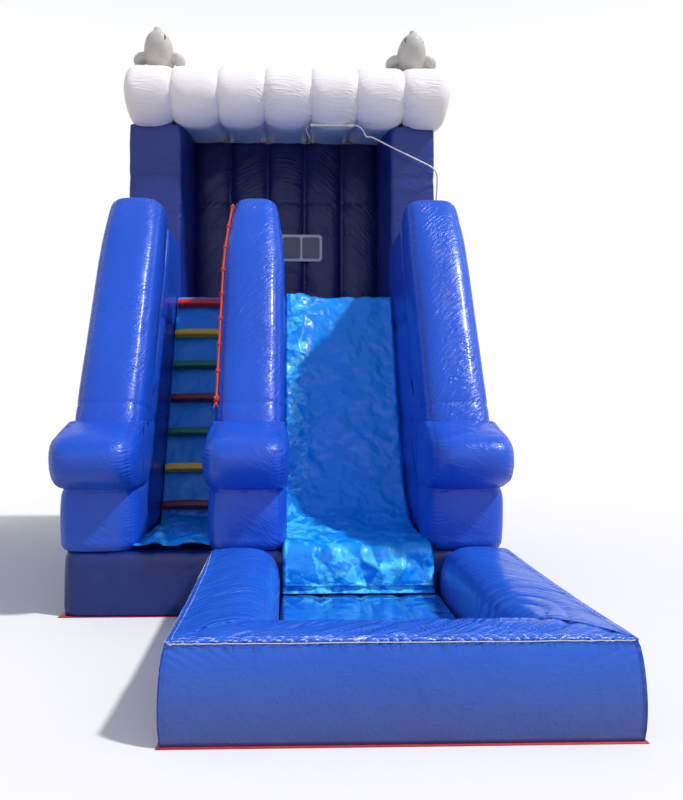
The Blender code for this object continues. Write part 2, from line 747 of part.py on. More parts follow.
def flat_fin(name, root, tip, chord, thickness, sweep, shares):
    """A tapering fin, thick in the middle, from root to tip."""
    root, tip = Vector(root), Vector(tip)
    rings = []
    for way, chord_share, thick_share in shares:
        middle = root.lerp(tip, way) + Vector((0.0, sweep * way ** 2, 0.0))
        ring = []
        for i in range(8):
            angle = 2 * math.pi * i / 8
            y = math.cos(angle) * chord * chord_share / 2
            z = math.sin(angle) * thickness * thick_share / 2
            ring.append(middle + Vector((0.0, y, z)))
        rings.append(ring)
    return loft(name, rings, GREY)


def make_dolphin(name, side, roof_cutter):
    x = side * DOLPHIN_X
    body, tail = dolphin_body(f"{name}_body", x, 0.0)
    cut(body, roof_cutter)
    body_cutter = as_cutter(dolphin_body(f"{name}_body_cutter", x, GAP)[0])
    # shares of the girth: how far back, up and out the flippers start, and how far their tips fall
    back_share, up_share, out_share, fall_share = 0.25, 0.88, 0.62, 0.28
    shoulder_y = FRONT_Y + ROOF_FRONT + ROOF_NOSE_RADIUS + DOLPHIN_GIRTH * back_share
    shoulder_z = ROOF_TOP + DOLPHIN_GIRTH * up_share
    fall = DOLPHIN_GIRTH * fall_share
    fin_shares = (
        (0.0, 1.2, 1.2), (0.3, 1.5, 1.45), (0.6, 1.7, 1.6), (0.8, 1.5, 1.35), (0.94, 0.95, 0.85),
        (1.0, 0.4, 0.35),
    )
    for flipper, way in (("outer", side), ("inner", -side)):
        root = (x + way * DOLPHIN_GIRTH * out_share, shoulder_y, shoulder_z)
        tip = (root[0] + way * FLIPPER_LENGTH, shoulder_y, shoulder_z - fall)
        fin = flat_fin(
            f"{name}_{flipper}_flipper", root, tip,
            FLIPPER_CHORD, FLIPPER_THICKNESS, FLIPPER_CHORD / 4, fin_shares,
        )
        cut(fin, body_cutter)
        cut(fin, roof_cutter)
    fluke_y = tail[0] + FLUKE_CHORD / 2 + GAP
    ends = (
        (0.0, 0.3, 0.3), (0.1, 0.7, 0.6), (0.3, 0.95, 0.9), (0.5, 1.0, 1.0), (0.7, 0.95, 0.9),
        (0.9, 0.7, 0.6), (1.0, 0.3, 0.3),
    )
    root = (x - FLUKE_SPAN / 2, fluke_y, tail[1])
    tip = (x + FLUKE_SPAN / 2, fluke_y, tail[1])
    fluke = flat_fin(f"{name}_tail_flukes", root, tip, FLUKE_CHORD, FLUKE_THICKNESS, 0.0, ends)
    cut(fluke, body_cutter)


# Splash pool

def pool_section(top):
    """Across a pool tube of a given height, from its outer foot: (way in, height)."""
    lift = FLOOR_Z
    edge = (POOL_EDGE_HEIGHT - lift) * (top - lift) / (POOL_TOP - lift)
    outer_shares = ((1.0, 0.0), (0.35, 0.14), (0.0, 0.45), (0.15, 0.78), (0.45, 1.0))
    top_shares = ((0.20, 0.62), (0.46, 1.0))
    inner_shares = ((0.74, 0.975), (0.93, 0.84), (1.0, 0.55), (0.98, 0.22), (0.90, 0.0))
    points = [(POOL_BULGE * way, lift + edge * up) for way, up in outer_shares]
    points += [(POOL_TUBE * way, lift + edge + (top - lift - edge) * up) for way, up in top_shares]
    return points + [(POOL_TUBE * way, lift + (top - lift) * up) for way, up in inner_shares]


def pool_ring(corner, inward, mitre, slack, top=POOL_TOP):
    """The tube's section, with each point drawn along a mitre as far as it lies inwards."""
    start = Vector((*corner, 0.0))
    return [
        start + inward * way + mitre * (way + slack) + Vector((0.0, 0.0, z))
        for way, z in pool_section(top)
    ]


def make_pool():
    left, right = POOL_LEFT_X, POOL_RIGHT_X
    front, back = POOL_FRONT_Y, FRONT_Y - 2 * GAP
    x_axis, y_axis = Vector((1.0, 0.0, 0.0)), Vector((0.0, 1.0, 0.0))
    still = Vector()
    side_shares = (0.3, 0.65, 0.93, 1.0)
    swell_shares = (0.0, 0.35, 1.0, 0.3)
    rise = POOL_REAR_TOP - POOL_TOP
    for name, x, inward in (("pool_left_tube", left, x_axis), ("pool_right_tube", right, -x_axis)):
        rings = [pool_ring((x, front), inward, y_axis, GAP)]
        for share, swell in zip(side_shares, swell_shares):
            top = POOL_TOP + rise * swell
            rings.append(pool_ring((x, front + (back - front) * share), inward, still, 0.0, top))
        loft(name, rings, BLUE)
    rings = [pool_ring((left, front), y_axis, x_axis, GAP)]
    for share in side_shares[:2]:
        rings.append(pool_ring((left + (right - left) * share, front), y_axis, still, 0.0))
    rings.append(pool_ring((right, front), y_axis, -x_axis, GAP))
    loft("pool_front_tube", rings, BLUE)
    make_pool_floor(left + POOL_TUBE + GAP, right - POOL_TUBE - GAP, front + POOL_TUBE + GAP, back)


def make_pool_floor(x_low, x_high, y_low, y_high):
    """A low mattress with channels that run towards the slide."""
    channel_shares = (0.0, 0.18, 0.5, 0.82)
    draw_share = 0.3
    width = x_high - x_low
    pitch = width / POOL_FLOOR_CHANNELS
    rings = []
    for y, draw in (
        (y_low, 1.0), (y_low + POOL_FLOOR_DIP, draw_share), (y_high - POOL_FLOOR_DIP, draw_share),
        (y_high, 1.0),
    ):
        inset = POOL_FLOOR_DIP * draw
        ring = [Vector((x_high, y, FLOOR_Z)), Vector((x_low, y, FLOOR_Z))]
        for channel in range(POOL_FLOOR_CHANNELS):
            for share in channel_shares:
                sag = POOL_FLOOR_DIP * abs(2 * share - 1) ** 3
                ring.append(Vector((x_low + pitch * (channel + share), y, POOL_FLOOR - sag - inset / 2)))
        ring.append(Vector((x_high, y, POOL_FLOOR - POOL_FLOOR_DIP - inset / 2)))
        rings.append(ring)
    loft("pool_floor", rings, WET_BLUE)


# Fittings that stay still

def bent_tube(name, points, diameter, colour, sides=2, radii=None, closed=False, origin=Vector()):
    curve = bpy.data.curves.new(name, "CURVE")
    curve.dimensions = "3D"
    curve.bevel_depth = diameter / 2
    curve.bevel_resolution = sides
    curve.use_fill_caps = True
    spline = curve.splines.new("POLY")
    spline.points.add(len(points) - 1)
    for i, place in enumerate(points):
        spline.points[i].co = (*(Vector(place) - Vector(origin)), 1.0)
        spline.points[i].radius = radii[i] if radii else 1.0
    spline.use_cyclic_u = closed
    spline.use_smooth = True
    curve.materials.append(colour)
    made = bpy.data.objects.new(name, curve)
    made.location = origin
    bpy.context.scene.collection.objects.link(made)
    return made


def make_hand_rope():
    """A rope up the stair side of the divider's rail, knotted and held nine times."""
    along = Vector((0.0, math.cos(RAIL_ANGLE), math.sin(RAIL_ANGLE)))
    up = Vector((0.0, -along.z, along.y))
    foot = Vector((DIVIDER_X, FRONT_Y + RAIL_FOOT, POST_TOP))
    # where the rope lies on the rail's stair side, as shares of the rail's radius
    side_share, front_share = 0.879, 0.679
    clear = ROPE_HOLDER / 2 - GAP / 2
    clear_out_share, clear_up_share = 0.869, 0.494
    taper_power = 1.6
    off = Vector((-RAIL_RADIUS * side_share - clear * clear_out_share, 0.0, 0.0))
    off += up * (RAIL_RADIUS * front_share + clear * clear_up_share)
    straight = RAIL_LENGTH - RAIL_TAPER
    hold_shares = (-0.09, -0.06, 0.06, 0.09)
    places, radii = [], []
    for i in range(ROPE_HOLDERS):
        knot = ROPE_HOLDER / ROPE
        for share in hold_shares:
            places.append(ROPE_START + ROPE_PITCH * (i + share))
            radii.append(knot if abs(share) < abs(hold_shares[0]) else 1.0)
        if i < ROPE_HOLDERS - 1:
            places.append(ROPE_START + ROPE_PITCH * (i + 0.5))
            radii.append(1.0)
    points = []
    for way in places:
        past = max(0.0, (way - straight) / RAIL_TAPER)
        narrowing = side_share * past ** taper_power * (RAIL_WIDTH - DIVIDER_RAIL_TOP_WIDTH) / 2
        falling = front_share * past ** 2 * RAIL_TOP_FALL
        phase = (way - ROPE_START) / ROPE_PITCH
        sag = ROPE_SAG * math.sin(math.pi * (phase % 1)) ** 2
        points.append(foot + along * way + off + Vector((narrowing, 0.0, 0.0)) - up * (sag + falling))
    bent_tube("hand_rope", points, ROPE, ROPE_RED, 2, radii)


def make_sign():
    """A plain sewn plate with round corners on the back wall's ribs."""
    corners = []
    for sx, sz, first in ((1, 1, 0), (-1, 1, 90), (-1, -1, 180), (1, -1, 270)):
        for turn in (0, 30, 60, 90):
            angle = math.radians(first + turn)
            x = SIGN_X + sx * (SIGN_WIDTH / 2 - SIGN_CORNER) + SIGN_CORNER * math.cos(angle)
            z = SIGN_Z + sz * (SIGN_HEIGHT / 2 - SIGN_CORNER) + SIGN_CORNER * math.sin(angle)
            corners.append((x, z))
    face = BACK_WALL_Y - GAP
    rings = [[Vector((x, y, z)) for x, z in corners] for y in (face, face - SIGN_THICKNESS)]
    loft("sign_plate", rings, SIGN_GREY)


def pipe_axis():
    """The pipe lies on the lower front quarter of the roof's roll."""
    away = ROOF_NOSE_RADIUS + PIPE_DIAMETER / 2 + GAP
    y = FRONT_Y + ROOF_FRONT + ROOF_NOSE_RADIUS - away * math.cos(PIPE_UNDER_ANGLE)
    return Vector((PIPE_X, y, ROOF_TOP - ROOF_NOSE_RADIUS - away * math.sin(PIPE_UNDER_ANGLE)))


def make_spray_pipe():
    thin, thick = PIPE_DIAMETER / 2, PIPE_FITTING / 2
    fitting = PIPE_FITTING_LENGTH
    section = [(0.0, thick), (fitting / 2, thick), (fitting / 2, thin), (PIPE_LENGTH - fitting, thin)]
    section += [(PIPE_LENGTH - fitting, thick), (PIPE_LENGTH, thick)]
    turned("spray_pipe", pipe_axis(), (1, 0, 0), section, 12, PIPE_WHITE)


# The hose's route, chosen by hand: out of the pipe, down across the opening to the
# pillar's outer edge, down the outside of the tower, and out over the ground.
HOSE_ROUTE = (
    (0.9003, 0.7106, 5.6482),
    (0.950, 0.7106, 5.6482),
    (1.020, 0.7060, 5.595),
    (1.073, 0.7020, 5.500),
    (1.150, 0.7000, 5.490),
    (1.420, 0.6970, 5.355),
    (1.700, 0.6950, 5.220),
    (1.940, 0.7000, 5.100),
    (2.020, 0.7600, 5.020),
    (2.040, 0.8600, 4.860),
    (2.036, 0.9300, 4.600),
    (2.034, 0.9500, 4.200),
    (2.034, 0.9500, 3.600),
    (2.034, 0.9500, 2.900),
    (2.034, 0.9500, 2.100),
    (2.034, 0.9500, 1.300),
    (2.036, 0.9400, 0.700),
    (2.060, 0.9100, 0.330),
    (2.110, 0.8600, 0.110),
    (2.190, 0.7700, 0.024),
    (2.270, 0.6600, 0.0125),
    (2.330, 0.5000, 0.0115),
    (2.350, 0.3200, 0.0120),
    (2.330, 0.1600, 0.0150),
    (2.300, 0.0200, 0.0185),
    (2.272, -0.1200, 0.0185),
)


def smooth_route(route, pitch):
    """Evenly spaced points on a smooth curve through the route's own points."""
    knots = [Vector(place) for place in route]
    knots = [knots[0] * 2 - knots[1]] + knots + [knots[-1] * 2 - knots[-2]]
    parts = 24
    fine = []
    for a, b, c, d in zip(knots, knots[1:], knots[2:], knots[3:]):
        for i in range(parts):
            t = i / parts
            bend = a * 2 - b * 5 + c * 4 - d
            swing = b * 3 - a - c * 3 + d
            fine.append((b * 2 + (c - a) * t + bend * t * t + swing * t ** 3) / 2)
    fine.append(knots[-2])
    ways = [0.0]
    for near, far in zip(fine, fine[1:]):
        ways.append(ways[-1] + (far - near).length)
    count = round(ways[-1] / pitch)
    points, k = [], 0
    for i in range(count + 1):
        goal = ways[-1] * i / count
        while k < len(ways) - 2 and ways[k + 1] < goal:
            k += 1
        points.append(fine[k].lerp(fine[k + 1], (goal - ways[k]) / (ways[k + 1] - ways[k])))
    return points, ways[-1]


def make_hose():
    points, length = smooth_route(HOSE_ROUTE, HOSE_POINT_PITCH)
    points.insert(1, points[0] + Vector((HOSE, 0.0, 0.0)))
    bent_tube("feed_hose", points, HOSE, HOSE_WHITE, 2)
    print(f"feed hose length {length:.3f} m, {len(points)} points")
    run = (points[-1] - points[-2]).normalized()
    start = points[-1] + run * GAP
    neck_end = FERRULE_LENGTH + NUT_BACK + 2 * NUT_CLEARANCE
    section = [
        (0.0, FERRULE / 2), (FERRULE_LENGTH, FERRULE / 2), (FERRULE_LENGTH, NECK / 2),
        (neck_end, NECK / 2),
    ]
    section += [(neck_end, FLANGE / 2), (neck_end + FLANGE_THICKNESS, FLANGE / 2)]
    turned("hose_connector", start, run, section, 16, COUPLING)
    back = FERRULE_LENGTH + NUT_CLEARANCE
    hole = NECK / 2 + NUT_CLEARANCE
    front = back + NUT_LENGTH
    section = [
        (back, hole), (back, NUT / 2), (front, NUT / 2), (front, NUT_BORE / 2),
        (back + NUT_BACK, NUT_BORE / 2), (back + NUT_BACK, hole),
    ]
    turned("hose_nut", start, run, section, 16, COUPLING, start + run * back, True)


# Tie-downs, air sleeve and deflation zip

def make_anchor(name, side, way):
    """A steel D ring whose bar runs through a loop of webbing on the base's side."""
    y = FRONT_Y + way
    hole = RING_WIRE / 2 + RING_CLEARANCE
    outer = hole + WEBBING
    face = SIDE_X + GAP
    bar_x = face + outer
    sides = 16
    loop = turned(
        f"{name}_strap", (side * bar_x, y - WEBBING_WIDTH / 2, ANCHOR_HEIGHT), (0, 1, 0),
        [(0.0, outer), (WEBBING_WIDTH, outer)], sides, WEB_BLACK,
    )
    tail = [(ANCHOR_HEIGHT, face), (ANCHOR_HEIGHT + WEBBING_TAIL, face)]
    tail += [(ANCHOR_HEIGHT + WEBBING_TAIL, face + WEBBING), (ANCHOR_HEIGHT, face + WEBBING)]
    rings = [[Vector((side * x, y + end * WEBBING_WIDTH / 2, z)) for z, x in tail] for end in (-1, 1)]
    plate = as_cutter(loft(f"{name}_strap_tail", rings, WEB_BLACK))
    joined = loop.modifiers.new("tail", "BOOLEAN")
    joined.operation = "UNION"
    joined.object = plate
    bore = turned(
        f"{name}_strap_bore", (side * bar_x, y - WEBBING_WIDTH, ANCHOR_HEIGHT), (0, 1, 0),
        [(0.0, hole), (2 * WEBBING_WIDTH, hole)], sides, WEB_BLACK,
    )
    cut(loop, as_cutter(bore))
    half = RING_WIDTH / 2
    points = [Vector((0.0, -half * share, 0.0)) for share in (0.9, 0.3, -0.3, -0.9)]
    arc = 9
    for i in range(arc + 1):
        angle = math.pi * i / arc
        points.append(Vector((0.0, half * math.cos(angle), -RING_DROP * (0.16 + 0.84 * math.sin(angle)))))
    origin = Vector((side * bar_x, y, ANCHOR_HEIGHT))
    bent_tube(f"{name}_ring", [origin + p for p in points], RING_WIRE, STEEL, 2, None, True, origin)


def make_sleeve():
    radius = SLEEVE / 2
    start = Vector((SLEEVE_X, REAR_Y + GAP, radius + SLEEVE_GROUND_GAP))
    section = [
        (0.0, radius), (SLEEVE_LENGTH, radius), (SLEEVE_LENGTH, radius - SLEEVE_WALL),
        (0.0, radius - SLEEVE_WALL),
    ]
    turned("air_sleeve", start, (0, 1, 0), section, 24, BLUE, Vector(), True)
    inside = radius + 2 * GAP
    first = SLEEVE_LENGTH - STRAP_FROM_MOUTH
    last = first + STRAP_WIDTH
    outside = inside + STRAP_THICKNESS
    section = [(first, inside), (first, outside), (last, outside), (last, inside)]
    turned("sleeve_strap", start, (0, 1, 0), section, 24, WEB_BLACK, Vector(), True)


def box(name, low, high, colour, origin=Vector()):
    rings = []
    for z in (low[2], high[2]):
        corners = ((low[0], low[1]), (high[0], low[1]), (high[0], high[1]), (low[0], high[1]))
        rings.append([Vector((x, y, z)) for x, y in corners])
    return loft(name, rings, colour, origin)


def make_zip():
    """Zip tape with a thick hem along its top, a slider on it and a flap over both."""
    back = REAR_Y + GAP
    low, high = ZIP_Z - ZIP_HEIGHT / 2, ZIP_Z + ZIP_HEIGHT / 2
    hem = high + ZIP_HEM
    section = [(back, low), (back + ZIP_TAPE, low), (back + ZIP_TAPE, high), (back + ZIP_STANDOFF, high)]
    section += [(back + ZIP_STANDOFF, hem), (back, hem)]
    prism("zip_tape", section, ZIP_X - ZIP_LENGTH / 2, ZIP_X + ZIP_LENGTH / 2, WEB_BLACK)
    slider_x = ZIP_X - ZIP_LENGTH / 2 + SLIDER_INSET
    y = back + ZIP_TAPE + GAP
    z = ZIP_Z - SLIDER_HEIGHT / 2
    box(
        "zip_slider", (slider_x, y, z), (slider_x + SLIDER_LENGTH, y + SLIDER_THICKNESS, z + SLIDER_HEIGHT),
        STEEL, (slider_x, y, ZIP_Z),
    )
    flap_y = back + ZIP_STANDOFF + GAP
    box(
        "zip_flap", (ZIP_X - FLAP_LENGTH / 2, flap_y, hem - FLAP_HEIGHT),
        (ZIP_X + FLAP_LENGTH / 2, flap_y + FLAP_THICKNESS, hem), BLUE,
        (ZIP_X, flap_y + FLAP_THICKNESS / 2, hem),
    )


# The whole slide

make_base()
LEFT_X = -SIDE_X + WALL / 2
for part_name, place, rail_top, back in (
    ("left", LEFT_X, SIDE_RAIL_TOP_WIDTH, TOWER_FRONT_Y),
    ("divider", DIVIDER_X, DIVIDER_RAIL_TOP_WIDTH, EDGE_Y - GAP),
    ("right", -LEFT_X, SIDE_RAIL_TOP_WIDTH, TOWER_FRONT_Y),
):
    make_post(f"{part_name}_post", place)
    make_wall(f"{part_name}_wall", place, back)
    make_rail(f"{part_name}_rail", place, rail_top)
platform = make_ramps()
make_lane_sheets()
make_steps()
roof_trim = as_cutter(loft("roof_cutter", roof_rings(GAP), WHITE))
back_wall = make_back_wall()
for tower_part in (make_tower_wall("left_tower_wall", -1), make_tower_wall("right_tower_wall", 1), back_wall):
    cut(tower_part, roof_trim)
for side_name, side in (("left", -1), ("right", 1)):
    wall_trim = as_cutter(make_tower_wall(f"{side_name}_tower_cutter", side, GAP))
    cut(platform, wall_trim)
loft("roof", roof_rings(0.0), WHITE)
make_dolphin("left_dolphin", -1, roof_trim)
make_dolphin("right_dolphin", 1, roof_trim)
make_pool()
make_hand_rope()
make_sign()
make_spray_pipe()
make_hose()
for place_name, distance in zip(("front", "rear"), ANCHOR_PLACES):
    make_anchor(f"{place_name}_left_anchor", -1, distance)
    make_anchor(f"{place_name}_right_anchor", 1, distance)
make_sleeve()
make_zip()
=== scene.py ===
import math

import bmesh
import bpy
import numpy as np
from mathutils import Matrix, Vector


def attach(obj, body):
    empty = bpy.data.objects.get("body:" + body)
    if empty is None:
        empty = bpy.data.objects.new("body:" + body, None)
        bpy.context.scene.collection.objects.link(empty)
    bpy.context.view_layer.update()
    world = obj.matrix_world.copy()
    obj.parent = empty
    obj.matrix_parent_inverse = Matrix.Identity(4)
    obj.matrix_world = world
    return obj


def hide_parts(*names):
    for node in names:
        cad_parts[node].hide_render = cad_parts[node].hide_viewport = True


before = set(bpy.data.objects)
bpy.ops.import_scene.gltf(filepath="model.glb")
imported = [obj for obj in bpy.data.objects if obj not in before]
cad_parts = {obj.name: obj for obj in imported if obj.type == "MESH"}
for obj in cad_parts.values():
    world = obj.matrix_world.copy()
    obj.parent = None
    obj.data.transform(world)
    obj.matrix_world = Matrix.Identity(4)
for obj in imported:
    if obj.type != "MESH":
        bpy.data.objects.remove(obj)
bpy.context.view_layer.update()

scene = bpy.context.scene
scene.view_settings.view_transform = "Standard"
gap = 0.0003        # between a piece and what carries it, in metres as all sizes are


class Signal:
    # one output of a node; sums and products of it add Math nodes
    def __init__(self, finish, node, output=0):
        self.finish, self.node, self.output = finish, node, output

    def __getitem__(self, output):
        return Signal(self.finish, self.node, output)

    def maths(self, operation, *values):
        return self.finish.node("Math", {"operation": operation}, dict(enumerate(values)))

    def __add__(self, other):
        return self.maths("ADD", self, other)

    def __radd__(self, other):
        return self.maths("ADD", other, self)

    def __sub__(self, other):
        return self.maths("SUBTRACT", self, other)

    def __rsub__(self, other):
        return self.maths("SUBTRACT", other, self)

    def __mul__(self, other):
        return self.maths("MULTIPLY", self, other)

    def __rmul__(self, other):
        return self.maths("MULTIPLY", other, self)

    def __truediv__(self, other):
        return self.maths("DIVIDE", self, other)

    def __mod__(self, other):
        return self.maths("FLOORED_MODULO", self, other)

    def __lt__(self, other):
        return self.maths("LESS_THAN", self, other)

    def __abs__(self):
        return self.maths("ABSOLUTE", self)


def tone(red, green, blue):
    # a colour as it looks on screen, 0 to 255
    shares = [c / 255 for c in (red, green, blue)]
    return tuple(c / 12.92 if c <= 10 / 255 else ((c + 0.055) / 1.055) ** 2.4 for c in shares) + (1.0,)


class Finish:
    # the nodes of one material, or of the sky
    def __init__(self, name, blocks=bpy.data.materials):
        self.block = blocks.new(name)
        self.block.use_nodes = True
        self.tree = self.block.node_tree
        self.tree.nodes.clear()
        self.place = self.node("TexCoord")["Object"]

    def node(self, kind, settings=None, sockets=None):
        made = self.tree.nodes.new("ShaderNode" + kind)
        for key, value in (settings or {}).items():
            setattr(made, key, value)
        for key, value in (sockets or {}).items():
            if isinstance(value, Signal):
                self.tree.links.new(value.node.outputs[value.output], made.inputs[key])
            else:
                made.inputs[key].default_value = value
        return Signal(self, made)

    def moved(self, scale=(1, 1, 1), turn=(0, 0, 0), source=None):
        return self.node("Mapping", None, {"Vector": source or self.place, "Scale": scale, "Rotation": turn})

    def noise(self, scale, detail=3.0, rough=0.55, warp=0.0, source=None):
        return self.node("TexNoise", None, {
            "Vector": source or self.place, "Scale": scale, "Detail": detail, "Roughness": rough, "Distortion": warp})

    def smooth(self, value, low, high):
        return self.node("MapRange", {"interpolation_type": "SMOOTHSTEP"}, {0: value, 1: low, 2: high, 3: 0.0, 4: 1.0})

    def mix(self, share, low, high):
        return self.node("Mix", {"data_type": "RGBA"}, {0: share, 6: low, 7: high})[2]

    def split(self, vector):
        return self.node("SeparateXYZ", None, {0: vector})

    def skinMap(self):
        # metres round a piece and along it
        return self.node("UVMap", {"uv_map": "skin"})

    def bump(self, height, distance, strength=1.0, under=None):
        sockets = {"Height": height, "Distance": distance, "Strength": strength}
        if under:
            sockets["Normal"] = under
        return self.node("Bump", None, sockets)

    def coat(self, colour, roughness, normal, **constants):
        sockets = {"Base Color": colour, "Roughness": roughness, "Normal": normal}
        for key, value in constants.items():
            sockets[key.replace("_", " ")] = value
        self.node("OutputMaterial", None, {"Surface": self.node("BsdfPrincipled", None, sockets)})
        return self


vinylLook = {
    "broad": 0.7, "ridges": 24.0, "dust": 5.0, "scuffs": 11.0, "drawnPatches": 1.3,     # spots to a metre
    "grain": 420.0, "soft": 6.0, "crisp": 15.0,
    "dustFades": (0.05, 0.75), "greyFades": (0.0, 0.60), "greyDrawn": (0.50, 0.56),     # heights
    "stitchHalf": 0.0036, "stitchPitch": 0.026, "stitchLength": 0.019,
    "dustTone": tone(120, 138, 176), "greyTone": tone(74, 84, 138), "threadTone": tone(204, 212, 236),
    "crinkleDepth": 0.016, "grainDepth": 0.0006, "threadDepth": 0.0012,
    "coatRoughness": 0.14, "specular": 0.34,
}


def vinyl(name, colours, rough=0.34, crinkle=1.0, dirt=0.12, threads=(), wet=0.0, facets=0.0, grey=0.0, drawn=None):
    # PVC-coated cloth: fine grain, soft crinkles, pale where it is stressed, a little dust low down; painted shade in
    # its folds, painted light on lit facets
    # threads: stitched lines, as which way they are measured and where on the skin
    # facets: how far the crumpled flats turn pale, as painted light on lit facets; grey: how far it greys low down, as
    # painted shade
    # drawn: fine pulled creases, as their slant, how many to a metre across and along them, their depth
    f, look = Finish(name), vinylLook
    colour, deep, pale = colours
    broad = f.smooth(f.noise(look["broad"], 2.0), 0.30, 0.70)
    crease = f.node("Attribute", {"attribute_name": "crease"})["Fac"]
    body = f.mix(broad * 0.30, colour, deep)
    # painted shade: darker in the pleats and folds, except on crumpled sheets
    body = f.mix(f.smooth(crease, 0.25, 1.0) * (0.0 if facets else 0.5), body, deep)
    # painted light: on crumpled sheets the lit facets turn pale
    if facets:
        body = f.mix(f.smooth(crease, 0.30, 0.95) * facets, body, pale)
    ridge = f.smooth(f.noise(look["ridges"], 4.0, 0.6, 0.8), 0.62, 0.80)
    body = f.mix(ridge * 0.10 * crinkle, body, pale)
    height = f.split(f.place)["Z"]
    low = 1.0 - f.smooth(height, *look["dustFades"])
    dust = f.smooth(f.noise(look["dust"], 8.0, 0.66, 0.6), 0.47, 0.72)
    scuff = f.smooth(f.noise(look["scuffs"], 9.0, 0.72, 1.6, f.moved((1.0, 1.0, 3.0))), 0.62, 0.70)
    body = f.mix(dust * (low * 0.8 + 0.15) * dirt + scuff * dirt * 0.35, body, look["dustTone"])
    # painted shade: the pool greys towards the bottom, where it turns away from the light
    if grey:
        body = f.mix((1.0 - f.smooth(height, *look["greyFades"])) * grey, body, look["greyTone"])
    skinPlace = f.split(f.skinMap())
    ways = {"across": skinPlace["X"], "along": skinPlace["Y"]}
    sewn = None
    for measured, at in threads:
        way, run = ways[measured], ways["along" if measured == "across" else "across"]
        line = (abs(way - at) < look["stitchHalf"]) * ((run % look["stitchPitch"]) < look["stitchLength"])
        sewn = line if sewn is None else sewn.maths("MAXIMUM", sewn, line)
    if sewn is not None:
        body = f.mix(sewn * 0.6, body, look["threadTone"])
    crisp = f.noise(look["crisp"], 5.0, 0.55, 1.3)
    uneven = f.noise(look["soft"], 3.0, 0.5, 0.8) * 0.6 + abs(crisp - 0.5) * 0.5 * crinkle
    normal = f.bump(uneven, look["crinkleDepth"] * crinkle, 0.5)
    normal = f.bump(f.noise(look["grain"], 2.0, 0.5), look["grainDepth"], 0.35, normal)
    if sewn is not None:
        normal = f.bump(sewn, look["threadDepth"], 0.5, normal)
    if drawn:
        slant, fine, coarse, deepness = drawn
        laid = f.moved(turn=(0, 0, slant), source=f.skinMap())
        pulled = f.noise(1.0, 2.5, 0.5, 0.5, f.moved((coarse, fine, 1.0), source=laid))
        there = f.smooth(f.noise(look["drawnPatches"], 2.0), 0.30, 0.62)
        if grey:            # on the pool, only above its edge
            there = f.smooth(height, *look["greyDrawn"])
        normal = f.bump(abs(pulled - 0.5) * there, deepness, 0.8, normal)
    shine = rough + (broad - 0.5) * 0.08 + dust * 0.16 * dirt + scuff * 0.10 * dirt - wet * 0.18
    return f.coat(body, shine, normal, Coat_Weight=0.10 + 0.5 * wet, Coat_Roughness=look["coatRoughness"],
                  Specular_IOR_Level=look["specular"])


def rope(name, colour, deep):
    f = Finish(name)
    skinPlace = f.split(f.skinMap())
    strands, pitch = 3.0, 0.018
    lay = abs(((skinPlace["X"] * strands + skinPlace["Y"] / pitch) % 1.0) - 0.5) * 2.0
    fibre = f.noise(300.0, 3.0)
    # painted shade: the colour darkens in the grooves between the strands
    return f.coat(f.mix(lay * 0.5 + fibre * 0.3, colour, deep), 0.75, f.bump(lay + fibre * 0.3, 0.002, 0.8))


def webbing(name, colour, pale):
    f = Finish(name)
    rows = f.node("TexWave", {"bands_direction": "Z"}, {"Vector": f.place, "Scale": 160.0, "Distortion": 0.3})
    ribs = f.node("TexWave", {"bands_direction": "Y"}, {"Vector": f.place, "Scale": 220.0, "Distortion": 0.2})
    fuzz = f.noise(240.0, 3.0)
    weave = rows["Fac"] * 0.6 + ribs["Fac"] * 0.4
    body = f.mix(weave * 0.4 + fuzz * 0.3, colour, pale)
    return f.coat(body, 0.78 + fuzz * 0.12, f.bump(weave + fuzz * 0.3, 0.0008, 0.7))


def galvanised(name, colour, bright, stained):
    f = Finish(name)
    cells = f.node("TexVoronoi", {"feature": "F1"}, {"Vector": f.place, "Scale": 90.0})
    tint = f.split(cells["Color"])["X"]
    stain = f.smooth(f.noise(60.0, 5.0), 0.45, 0.75)
    body = f.mix(stain * 0.3, f.mix(tint * 0.5, colour, bright), stained)
    grain = f.bump(f.noise(200.0, 3.0), 0.0004, 0.4)
    return f.coat(body, 0.28 + stain * 0.25 + tint * 0.08, grain, Metallic=1.0)


def plastic(name, colour, worn, rough=0.38):
    f = Finish(name)
    cloudy = f.smooth(f.noise(18.0, 4.0), 0.35, 0.7)
    scratch = f.smooth(f.noise(40.0, 6.0, 0.7, 0.8, f.moved((1.0, 1.0, 6.0))), 0.60, 0.68)
    body = f.mix(cloudy * 0.35 + scratch * 0.3, colour, worn)
    return f.coat(body, rough + cloudy * 0.10 + scratch * 0.15, f.bump(f.noise(330.0, 2.0), 0.0003, 0.5))


